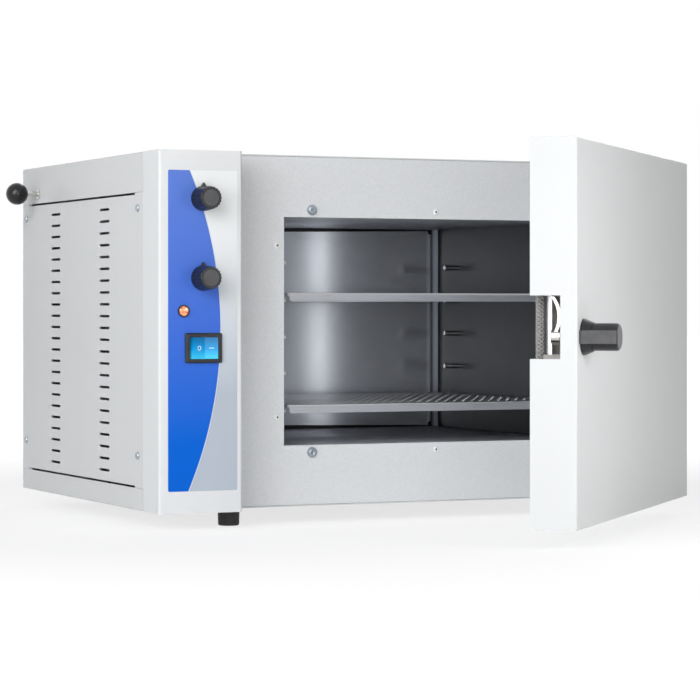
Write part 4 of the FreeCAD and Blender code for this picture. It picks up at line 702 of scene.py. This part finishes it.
def rows_of_heads(name, node, axes, head, slot, body, instead=True):
    """Stands detailed heads on the seats of a CAD node's fasteners, instead of these or as well."""
    places = seats(node, axes)
    first_turn, next_turn = 0.4, 1.1
    mesh = bpy.data.meshes.new("points")
    mesh.from_pydata([seat for seat, _ in places], [], [])
    mesh.attributes.new("aim", "FLOAT_VECTOR", "POINT")
    mesh.attributes.new("turn", "FLOAT", "POINT")
    for k, (_, axis) in enumerate(places):
        mesh.attributes["aim"].data[k].vector = axis
        mesh.attributes["turn"].data[k].value = first_turn + next_turn * k
    pattern = bpy.data.objects.new("pattern", head)
    result = run_tree(mesh, "fastener_rows", {"Head": pattern, "Size": 1.0, "Finish": PALETTE[slot]})
    bpy.data.objects.remove(pattern)
    return new_object(name, result, slot, body, *([node] if instead else []))


def perforation_tree():
    """Lays staggered rows of perforated cells on a plate and joins them to its plain border."""
    graph, given, leave = node_tree("shelf_perforation", [
        ("Cell", "Object"), ("Pitch", "Float"), ("Row pitch", "Float"), ("Columns", "Int"),
        ("Rows", "Int"), ("Start", "Vector")])
    pitch, row_pitch = given["Pitch"], given["Row pitch"]
    cell = graph.add("GeometryNodeObjectInfo", given["Cell"]).outputs["Geometry"]
    wide, deep = (graph.math("MULTIPLY", graph.math("SUBTRACT", given[count], 1.0), step)
                  for count, step in (("Columns", pitch), ("Rows", row_pitch)))
    grid = graph.first("GeometryNodeMeshGrid", wide, deep, given["Columns"], given["Rows"])
    half = graph.join(*(graph.math("MULTIPLY", side, 0.5) for side in (wide, deep)), 0.0)
    at = graph.split(graph.vector("ADD", graph.first("GeometryNodeInputPosition"), half))
    row = graph.math("ROUND", graph.math("DIVIDE", at["Y"], row_pitch))
    shift = graph.math("MULTIPLY", graph.math("MODULO", row, 2.0), graph.math("MULTIPLY", pitch, 0.5))
    shifted = graph.join(graph.math("ADD", at["X"], shift), at["Y"], 0.0)
    placed = graph.first("GeometryNodeSetPosition", grid,
                         Position=graph.vector("ADD", shifted, given["Start"]))
    cells = graph.first("GeometryNodeInstanceOnPoints", placed, Instance=cell)
    join = graph.add("GeometryNodeJoinGeometry")
    graph.tree.links.new(graph.first("GeometryNodeRealizeInstances", cells), join.inputs[0])
    graph.tree.links.new(given["Geometry"], join.inputs[0])
    hand_over(graph, given, leave,
              graph.first("GeometryNodeMergeByDistance", join.outputs[0], Distance=MERGE))


def seal_tree():
    """Twists strands both ways round a closed path, which reads as a braid."""
    graph, given, leave = node_tree("braided_seal", [
        ("Turns", "Float"), ("Strands", "Int"), ("Strand radius", "Float"), ("Ring radius", "Float"),
        ("Step", "Float")])
    path = graph.first("GeometryNodeResampleCurve", given["Geometry"], settings={"mode": "LENGTH"},
                       Length=given["Step"])
    ring = graph.first("GeometryNodeCurvePrimitiveCircle", given["Strands"],
                       Radius=given["Ring radius"])
    strand = graph.first("GeometryNodeCurvePrimitiveCircle", 6, Radius=given["Strand radius"])
    centres = graph.first("GeometryNodeCurveToPoints", ring, settings={"mode": "EVALUATED"})
    profile = graph.first("GeometryNodeInstanceOnPoints", centres, Instance=strand)
    profile = graph.first("GeometryNodeRealizeInstances", profile)
    along = graph.add("GeometryNodeSplineParameter").outputs["Factor"]
    whole = graph.add("GeometryNodeJoinGeometry")
    for hand in (1.0, -1.0):
        tilt = graph.math("MULTIPLY", graph.math("MULTIPLY", along, given["Turns"]),
                          hand * 2 * math.pi)
        twisted = graph.first("GeometryNodeSetCurveTilt", path, Tilt=tilt)
        graph.tree.links.new(graph.first("GeometryNodeCurveToMesh", twisted, profile),
                             whole.inputs[0])
    smooth = graph.first("GeometryNodeSetShadeSmooth", whole.outputs[0])
    hand_over(graph, given, leave, graph.first("GeometryNodeRealizeInstances", smooth))


# Shelves

LIP_HEIGHT = 8.3 * MM
FOLD_RADIUS = 1.6 * MM
LIP_CORNER = 2.5 * MM
PAST_STUDS = 12.5 * MM
HEM_RADIUS, HEM_REACH = 1.7 * MM, 12 * MM
CELL_STEPS = 12
MERGE = 0.02 * MM


def perforated_cell(pitch, row_pitch, hole):
    """One flat cell with a round hole. Its rim has points where the neighbouring cells have theirs."""
    build = bmesh.new()
    step = 2 * math.pi / CELL_STEPS
    half_x, half_y = pitch / 2, row_pitch / 2
    inner, outer = [], []
    for k in range(CELL_STEPS):
        dx, dy = math.cos(k * step), math.sin(k * step)
        reach = min(half_x / max(abs(dx), 1e-9), half_y / max(abs(dy), 1e-9))
        inner.append(build.verts.new((dx * hole / 2, dy * hole / 2, 0)))
        outer.append(build.verts.new((dx * reach, dy * reach, 0)))
    corners = {}
    for sx, sy in ((1, 1), (-1, 1), (-1, -1), (1, -1)):
        angle = math.atan2(sy * half_y, sx * half_x) % (2 * math.pi)
        corners[int(angle / step)] = build.verts.new((sx * half_x, sy * half_y, 0))
    for k in range(CELL_STEPS):
        following = (k + 1) % CELL_STEPS
        corner = [corners[k]] if k in corners else []
        build.faces.new([inner[k], outer[k]] + corner + [outer[following], inner[following]])
    return as_mesh(build)


def cell_rim_offsets(pitch, row_pitch):
    """Where a cell's rim has points along its sides and along its front, from its corner."""
    step = math.tan(2 * math.pi / CELL_STEPS)
    side, front = step * pitch / 2, step * row_pitch / 2
    return [row_pitch / 2 - side, row_pitch / 2, row_pitch / 2 + side], pitch / 2 - front


def fold(radius, turn, steps):
    """(outward, height) points of a sheet that bends down through a turn."""
    return [(math.sin(turn * k / steps) * radius, (math.cos(turn * k / steps) - 1) * radius)
            for k in range(steps + 1)]


class Sheet:
    """Collects the flat and folded faces of a shelf as one open surface."""

    def __init__(self):
        self.build = bmesh.new()

    def face(self, points):
        self.build.faces.new([self.build.verts.new(point) for point in points])

    def flat(self, points, z):
        self.face([(x, y, z) for x, y in points])

    def strip(self, starts, profile, carry):
        """Sweeps a folded profile from each pair of neighbouring edge points."""
        for a, b in zip(starts, starts[1:]):
            for p, q in zip(profile, profile[1:]):
                self.face([carry(a, p), carry(b, p), carry(b, q), carry(a, q)])


def shelf_border(low, high, settings):
    """The plain parts of a shelf round its field of holes, with the folded lips and hemmed sides."""
    pitch, row_pitch = settings.pitch, settings.pitch * math.sqrt(3) / 2
    top = high.z
    x0, x1 = low.x + HEM_RADIUS, high.x - HEM_RADIUS
    y0, y1 = low.y + FOLD_RADIUS, high.y - FOLD_RADIUS
    columns = int((x1 - x0 - 2 * settings.margin) / pitch - 0.5)
    rows = int((y1 - y0 - 2 * settings.margin) / row_pitch)
    start_x = (x0 + x1 - (columns + 0.5) * pitch) / 2
    start_y = (y0 + y1 - rows * row_pitch) / 2
    end_x, end_y = start_x + (columns + 0.5) * pitch, start_y + rows * row_pitch
    side_steps, front_step = cell_rim_offsets(pitch, row_pitch)
    sheet = Sheet()
    edge_x = sorted({round(start_x + k * pitch / 2 + step, 7) for k in range(2 * columns + 1)
                     for step in (0.0, front_step)} | {round(end_x, 7)})
    for row in range(rows):
        y = start_y + row * row_pitch
        far = y + row_pitch
        heights = [y + step for step in side_steps]
        sheet.flat([(x0, y), (start_x, y)] + [(start_x, h) for h in heights + [far]] + [(x0, far)], top)
        sheet.flat([(x1, far), (end_x, far)] + [(end_x, h) for h in heights[::-1] + [y]] + [(x1, y)],
                   top)
        filler = start_x if row % 2 else end_x - pitch / 2
        quarter, other = filler + front_step, filler + pitch / 2
        sheet.flat([(filler, y), (quarter, y), (other, y)] + [(other, h) for h in heights + [far]]
                   + [(quarter, far), (filler, far)] + [(filler, h) for h in heights[::-1]], top)
    for near, far in ((y0, start_y), (end_y, y1)):
        for a, b in zip([x0] + edge_x, edge_x + [x1]):
            sheet.flat([(a, near), (b, near), (b, far), (a, far)], top)
    add_lips(sheet, [x0] + edge_x + [x1], y0, y1, top)
    levels = [y0, start_y] + [start_y + (k + 1) * row_pitch for k in range(rows)] + [y1]
    add_hems(sheet, levels, x0, x1, top)
    return sheet.build, columns, rows, row_pitch, Vector((start_x, start_y, top))


def add_lips(sheet, xs, y0, y1, top):
    """The lips bent down at the front and the rear, with rounded lower corners.

    The rear lip is short at both ends, so that it passes between the studs.
    """
    arc = fold(FOLD_RADIUS, math.pi / 2, 4)
    first, last = xs[0] + PAST_STUDS, xs[-1] - PAST_STUDS
    short = [first] + [x for x in xs if first < x < last] + [last]
    for y, out, run in ((y0, -1, xs), (y1, 1, short)):
        sheet.strip(run, arc, lambda x, p, y=y, out=out: (x, y + out * p[0], top + p[1]))
        face_y = y + out * FOLD_RADIUS
        rounded = []
        for end, turn in ((run[-1], 1), (run[0], -1)):
            rounded += [(end - turn * LIP_CORNER * (1 - math.cos(angle)), face_y,
                         top - LIP_HEIGHT + LIP_CORNER * (1 - math.sin(angle)))
                        for angle in [k * math.pi / 12 for k in range(7)][::turn]]
        sheet.face([(x, face_y, top - FOLD_RADIUS) for x in run] + rounded)


def add_hems(sheet, ys, x0, x1, top):
    """The sides folded round and under, which ride on the studs."""
    arc = fold(HEM_RADIUS, math.pi, 6) + [(HEM_RADIUS - HEM_REACH, -2 * HEM_RADIUS)]
    for x, out in ((x0, -1), (x1, 1)):
        sheet.strip(ys, arc, lambda y, p, x=x, out=out: (x + out * p[0], y, top + p[1]))


def perforated_shelf(name, node, body, settings):
    low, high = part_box(node)
    build, columns, rows, row_pitch, start = shelf_border(low, high, settings)
    bmesh.ops.remove_doubles(build, verts=build.verts, dist=MERGE)
    face_outward(build)
    level = high.z - 0.1 * MM
    upward = sum(face.normal.z for face in build.faces
                 if abs(face.normal.z) > 0.9 and face.calc_center_median().z > level)
    if upward < 0:
        bmesh.ops.reverse_faces(build, faces=build.faces)
    cell = perforated_cell(settings.pitch, row_pitch, settings.hole)
    pattern = bpy.data.objects.new("pattern", cell)
    solid = ("SOLIDIFY", {"thickness": settings.sheet, "offset": -1.0,
                          "use_quality_normals": True, "use_even_offset": True})
    values = {"Cell": pattern, "Pitch": settings.pitch, "Row pitch": row_pitch, "Columns": columns,
              "Rows": rows, "Start": start + Vector((settings.pitch / 2, row_pitch / 2, 0)),
              "Finish": PALETTE["stainless"]}
    result = run_tree(as_mesh(build), "shelf_perforation", values, [solid])
    bpy.data.objects.remove(pattern)
    return new_object(name, result, "stainless", body, node)


# Rocker marks and the seal's path

# The rocker's V falls from its middle ridge to both ends
ROCKER_HALF, ROCKER_RISE, ROCKER_MIDDLE = 13.0 * MM, 2.2 * MM, 4.4 * MM
ROCKER_TILT = math.radians(8.0)
MARK_OUT = 6.6 * MM
MARK_LOW, MARK_HIGH = 0.02 * MM, 0.08 * MM


def ring_mark():
    """A thin printed ring facing -Y."""
    inner, outer = 1.55 * MM, 2.15 * MM
    build = turned([(inner, MARK_LOW), (inner, MARK_HIGH), (outer, MARK_HIGH), (outer, MARK_LOW),
                    (inner, MARK_LOW)], 28)
    bmesh.ops.remove_doubles(build, verts=build.verts, dist=0.001 * MM)
    face_outward(build)
    bmesh.ops.transform(build, matrix=Matrix.Rotation(math.pi / 2, 4, "X"), verts=build.verts)
    return build


def bar_mark():
    """A thin printed bar facing -Y, with rounded ends."""
    build = bmesh.new()
    half, thick = 2.2 * MM, 0.3 * MM
    outline = [(side * (half + math.sin(k * math.pi / 6) * thick),
                side * math.cos(k * math.pi / 6) * thick) for side in (1, -1) for k in range(7)]
    front, back = ([build.verts.new((x, -height, z)) for x, z in outline]
                   for height in (MARK_HIGH, MARK_LOW))
    build.faces.new(front)
    build.faces.new(back)
    for k in range(len(outline)):
        build.faces.new([front[k - 1], front[k], back[k], back[k - 1]])
    face_outward(build)
    return build


def rounded_rectangle(x0, x1, z0, z1, radius):
    """(x, z) points of a closed rounded rectangle."""
    points = []
    for cx, cz, first in ((x1 - radius, z1 - radius, 0), (x0 + radius, z1 - radius, 1),
                          (x0 + radius, z0 + radius, 2), (x1 - radius, z0 + radius, 3)):
        for k in range(7):
            angle = (first + k / 6) * math.pi / 2
            points.append((cx + radius * math.cos(angle), cz + radius * math.sin(angle)))
    return points


# Studio

# Each lamp's setting, place and width
SOFTBOXES = (("key", (-2.3, -2.6, 2.1), 1.8), ("front", (-0.9, -3.2, 1.6), 1.6),
             ("low", (-0.7, -2.6, 0.30), 0.6), ("side", (-1.7, -1.0, 0.6), 0.9),
             ("corner", (-1.3, -1.3, 0.5), 0.8), ("rear", (1.9, 2.2, 1.9), 1.8),
             ("door", (0.19, -0.90, 0.27), 0.2))
SIDE_LIGHT = (0.93, 0.96, 1.0)
OVEN_MIDDLE = (0.0, -0.1, 0.18)
STRIP_WIDTH, STRIP_FROM_RIGHT, STRIP_BEHIND_LIP = 12 * MM, 6 * MM, 15 * MM
STRIP_SHARE = 0.9
STRIP_AIM = Vector((-0.55, 1.0, 0.0))
FLOOR_HALF = 14.0
SHADOW_NEAR, SHADOW_FAR = 0.55, 1.25
CAMERA_AT = (-1.1548, -2.5650, 0.2088)
CAMERA_HEADING = math.radians(24.548)
CAMERA_LENS = {"sensor_width": 36.0, "lens": 137.89, "shift_x": 0.01139, "shift_y": -0.05947}


def seen_directly(graph):
    """1 for rays from the camera and for those mirrored or passed on by a surface."""
    path = graph.add("ShaderNodeLightPath").outputs
    either = graph.math("MAXIMUM", path["Is Camera Ray"], path["Is Glossy Ray"])
    return graph.math("MAXIMUM", either, path["Is Transmission Ray"])


def make_floor(settings):
    """A white sheet that keeps the oven's shadow and turns into the white background further out."""
    build = bmesh.new()
    bmesh.ops.create_grid(build, x_segments=4, y_segments=4, size=FLOOR_HALF)
    floor = in_scene("studio_floor", as_mesh(build, "studio_floor"))
    material = bpy.data.materials.new("studio_floor_paper")
    material.use_nodes = True
    material.node_tree.nodes.clear()
    graph = Graph(material.node_tree)
    white = tuple(settings.backdrop)
    far = span(graph, graph.vector("LENGTH", place(graph)), SHADOW_NEAR, SHADOW_FAR)
    glow = graph.vary(far, 1.0 - settings.glow_share, settings.glow_share)
    mix = graph.first("ShaderNodeMixShader", graph.math("MULTIPLY", seen_directly(graph), glow),
                      graph.first("ShaderNodeBsdfDiffuse", white),
                      graph.first("ShaderNodeEmission", white, settings.floor_glow))
    graph.add("ShaderNodeOutputMaterial", mix)
    floor.data.materials.append(material)


def make_world(settings):
    """Even light for the surfaces and plain white for the camera and for mirrors."""
    world = bpy.data.worlds.new("studio")
    bpy.context.scene.world = world
    world.use_nodes = True
    world.node_tree.nodes.clear()
    graph = Graph(world.node_tree)
    light, white = (graph.first("ShaderNodeBackground", tuple(settings.backdrop), strength)
                    for strength in (settings.ambient, 1.0))
    graph.add("ShaderNodeOutputWorld",
              graph.first("ShaderNodeMixShader", seen_directly(graph), light, white))


def looking(name, data, at, along):
    """A lamp or a camera that stands at a point and looks along a direction."""
    obj = in_scene(name, data)
    obj.location = at
    obj.rotation_mode = "QUATERNION"
    obj.rotation_quaternion = along.to_track_quat("-Z", "Y")
    return obj


def lamp(name, at, size, power, towards=OVEN_MIDDLE):
    light = bpy.data.lights.new(name, "AREA")
    light.shape = "SQUARE"
    light.size = size
    light.energy = power
    looking(name, light, at, Vector(towards) - Vector(at)).visible_camera = False
    return light


def chamber_lamps(settings):
    """Narrow lamps inside the opening's right, for the light that the open door throws in."""
    upper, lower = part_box("upper_shelf"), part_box("lower_shelf")
    levels = [CHAMBER_LOW.z, lower[0].z, lower[1].z, upper[0].z, upper[1].z, CHAMBER_HIGH.z]
    whole = levels[-1] - levels[0]
    for k, (low, high) in enumerate(zip(levels[::2], levels[1::2])):
        at = Vector((CHAMBER_HIGH.x - STRIP_FROM_RIGHT, lower[0].y + STRIP_BEHIND_LIP, (low + high) / 2))
        strip = lamp("chamber_strip_%d" % k, at, STRIP_WIDTH, settings.chamber * (high - low) / whole,
                     at + STRIP_AIM)
        strip.shape = "RECTANGLE"
        strip.size_y = (high - low) * STRIP_SHARE


def make_camera(scene):
    data = bpy.data.cameras.new("camera")
    for key, value in CAMERA_LENS.items():
        setattr(data, key, value)
    along = Vector((math.sin(CAMERA_HEADING), math.cos(CAMERA_HEADING), 0.0))
    scene.camera = looking("camera", data, CAMERA_AT, along)


# Operators

class OVEN_OT_finishes(bpy.types.Operator):
    """Mixes every finish and gives the CAD pieces theirs"""
    bl_idname = "oven.finishes"
    bl_label = "Paint, steel and plastics"

    def execute(self, context):
        PALETTE.update(build_palette(context.scene))
        dress(frame["nodes"])
        return {"FINISHED"}


class OVEN_OT_shelves(bpy.types.Operator):
    """Makes the two perforated shelves with folded lips and hemmed sides"""
    bl_idname = "oven.shelves"
    bl_label = "Perforated shelves"

    def execute(self, context):
        perforation_tree()
        for level in ("lower", "upper"):
            perforated_shelf(level + "_shelf_tray", level + "_shelf", "shelf_" + level,
                             context.scene.oven_shelves)
        return {"FINISHED"}


class OVEN_OT_fasteners(bpy.types.Operator):
    """Makes the screws, washers and rivets on their seats"""
    bl_idname = "oven.fasteners"
    bl_label = "Screws and rivets"

    def execute(self, context):
        fastener_tree()
        recess = context.scene.oven_fasteners.recess
        straight = [(1, 0, 0), (0, 1, 0), (0, 0, 1)]
        front = straight[1:2]
        swung = [OPEN.to_3x3() @ Vector(axis) for axis in straight]
        pan = cross_head(3.6 * MM, 2.2 * MM, recess)
        washered = cross_head(4.2 * MM, 2.15 * MM, recess, washer=5.2 * MM, washer_sheet=1.0 * MM)
        rows_of_heads("casing_screw_heads", "case_screws", straight, pan, "zinc", "oven")
        rows_of_heads("door_screw_heads", "door_screws", swung, pan, "zinc", "door")
        rows_of_heads("liner_screws_on_washers", "flange_screws", front, washered, "zinc", "oven")
        rows_of_heads("opening_rivets", "front_rivets", front, rivet_head(), "white_rivet", "oven")
        rows_of_heads("rivet_stems", "front_rivets", front, rivet_stem(), "heater", "oven",
                      instead=False)
        return {"FINISHED"}


class OVEN_OT_seal(bpy.types.Operator):
    """Braids the door's seal round the inner panel"""
    bl_idname = "oven.seal"
    bl_label = "Braided door seal"

    def execute(self, context):
        settings = context.scene.oven_seal
        strand_share, step = 0.36, 1.4 * MM
        seal_tree()
        back = OPEN.inverted()
        low, high = box_of([back @ vert.co for vert in frame["nodes"]["door_gasket"].data.vertices])
        radius = (high.y - low.y) / 2
        corners = rounded_rectangle(low.x + radius, high.x - radius, low.z + radius,
                                    high.z - radius, settings.corner)
        path = bpy.data.curves.new("seal_path", "CURVE")
        path.dimensions = "3D"
        spline = path.splines.new("POLY")
        spline.points.add(len(corners) - 1)
        spline.use_cyclic_u = True
        for point, (x, z) in zip(spline.points, corners):
            point.co = (x, (low.y + high.y) / 2, z, 1.0)
        run = sum(math.dist(corners[k], corners[k - 1]) for k in range(len(corners)))
        strand = radius * strand_share
        values = {"Turns": float(round(run / settings.lay)), "Strands": settings.strands,
                  "Strand radius": strand, "Ring radius": radius - strand, "Step": step,
                  "Finish": PALETTE["rope"]}
        result = run_tree(path, "braided_seal", values)
        result.transform(OPEN)
        new_object("braided_door_seal", result, "rope", "door", "door_gasket")
        return {"FINISHED"}


class OVEN_OT_switch_marks(bpy.types.Operator):
    """Prints the ring and the bar on the rocker"""
    bl_idname = "oven.switch_marks"
    bl_label = "Rocker marks"

    def execute(self, context):
        low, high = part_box("switch_rocker")
        pivot = Vector(JOINTS["switch_rock"]["pos_m"])
        pivot.z = (low.z + high.z) / 2
        ink = Finish("white_mark_ink", Roughness=0.5, Emission_Strength=0.25)
        tone = ramp(ink, noise(ink, 0.4 * MM), [(0.3, (0.62, 0.80, 0.88, 1)),
                                                (0.6, (0.84, 0.93, 0.96, 1))])
        ink.surface(Base_Color=tone, Emission_Color=tone)
        depth = ROCKER_MIDDLE + ROCKER_RISE * MARK_OUT / ROCKER_HALF
        slope = math.atan2(ROCKER_RISE, ROCKER_HALF)
        tilt = Matrix.Rotation(ROCKER_TILT, 4, "Z")
        for name, side, build in (("off_ring_mark", -1, ring_mark()), ("on_bar_mark", 1, bar_mark())):
            face = Matrix.Translation((side * MARK_OUT, -depth, 0.0))
            lean = Matrix.Rotation(-side * slope, 4, "Z")
            mesh = as_mesh(build)
            mesh.transform(Matrix.Translation(pivot) @ tilt @ face @ lean)
            mesh.materials.append(ink.material)
            new_object(name, mesh, "blue_lens", "rocker")
        return {"FINISHED"}


class OVEN_OT_stage(bpy.types.Operator):
    """Sets the floor, the white surroundings, the lamps and the camera"""
    bl_idname = "oven.stage"
    bl_label = "Studio and camera"

    def execute(self, context):
        settings = context.scene.oven_stage
        make_floor(settings)
        make_world(settings)
        for setting, at, width in SOFTBOXES:
            lamp(setting + "_softbox", at, width, getattr(settings, setting))
        bpy.data.lights["side_softbox"].color = SIDE_LIGHT
        chamber_lamps(settings)
        make_camera(context.scene)
        context.scene.view_settings.view_transform = "Standard"
        return {"FINISHED"}


# Panel and registration

STEPS = (OVEN_OT_finishes, OVEN_OT_shelves, OVEN_OT_fasteners, OVEN_OT_seal, OVEN_OT_switch_marks,
         OVEN_OT_stage)
SETTINGS = {"oven_paint": OvenPaintSettings, "oven_steel": OvenSteelSettings,
            "oven_film": OvenFilmSettings, "oven_shelves": OvenShelfSettings,
            "oven_fasteners": OvenFastenerSettings, "oven_seal": OvenSealSettings,
            "oven_stage": OvenStageSettings}


class OVEN_PT_finish(bpy.types.Panel):
    """Lists the oven's pieces and their sizes"""
    bl_idname = "OVEN_PT_finish"
    bl_label = "Laboratory Oven"
    bl_space_type = "VIEW_3D"
    bl_region_type = "UI"
    bl_category = "Lab Oven"

    def draw(self, context):
        for name, kind in SETTINGS.items():
            box = self.layout.box()
            for key in kind.__annotations__:
                box.prop(getattr(context.scene, name), key)
        for step in STEPS:
            self.layout.operator(step.bl_idname)


CLASSES = (*SETTINGS.values(), *STEPS, OVEN_PT_finish)


def register():
    for kind in CLASSES:
        bpy.utils.register_class(kind)
    for name, kind in SETTINGS.items():
        setattr(bpy.types.Scene, name, bpy.props.PointerProperty(type=kind))


def unregister():
    for name in SETTINGS:
        delattr(bpy.types.Scene, name)
    for kind in reversed(CLASSES):
        bpy.utils.unregister_class(kind)


def main():
    register()
    for step in STEPS:
        group, name = step.bl_idname.split(".")
        getattr(getattr(bpy.ops, group), name)()


if __name__ == "__main__":
    main()
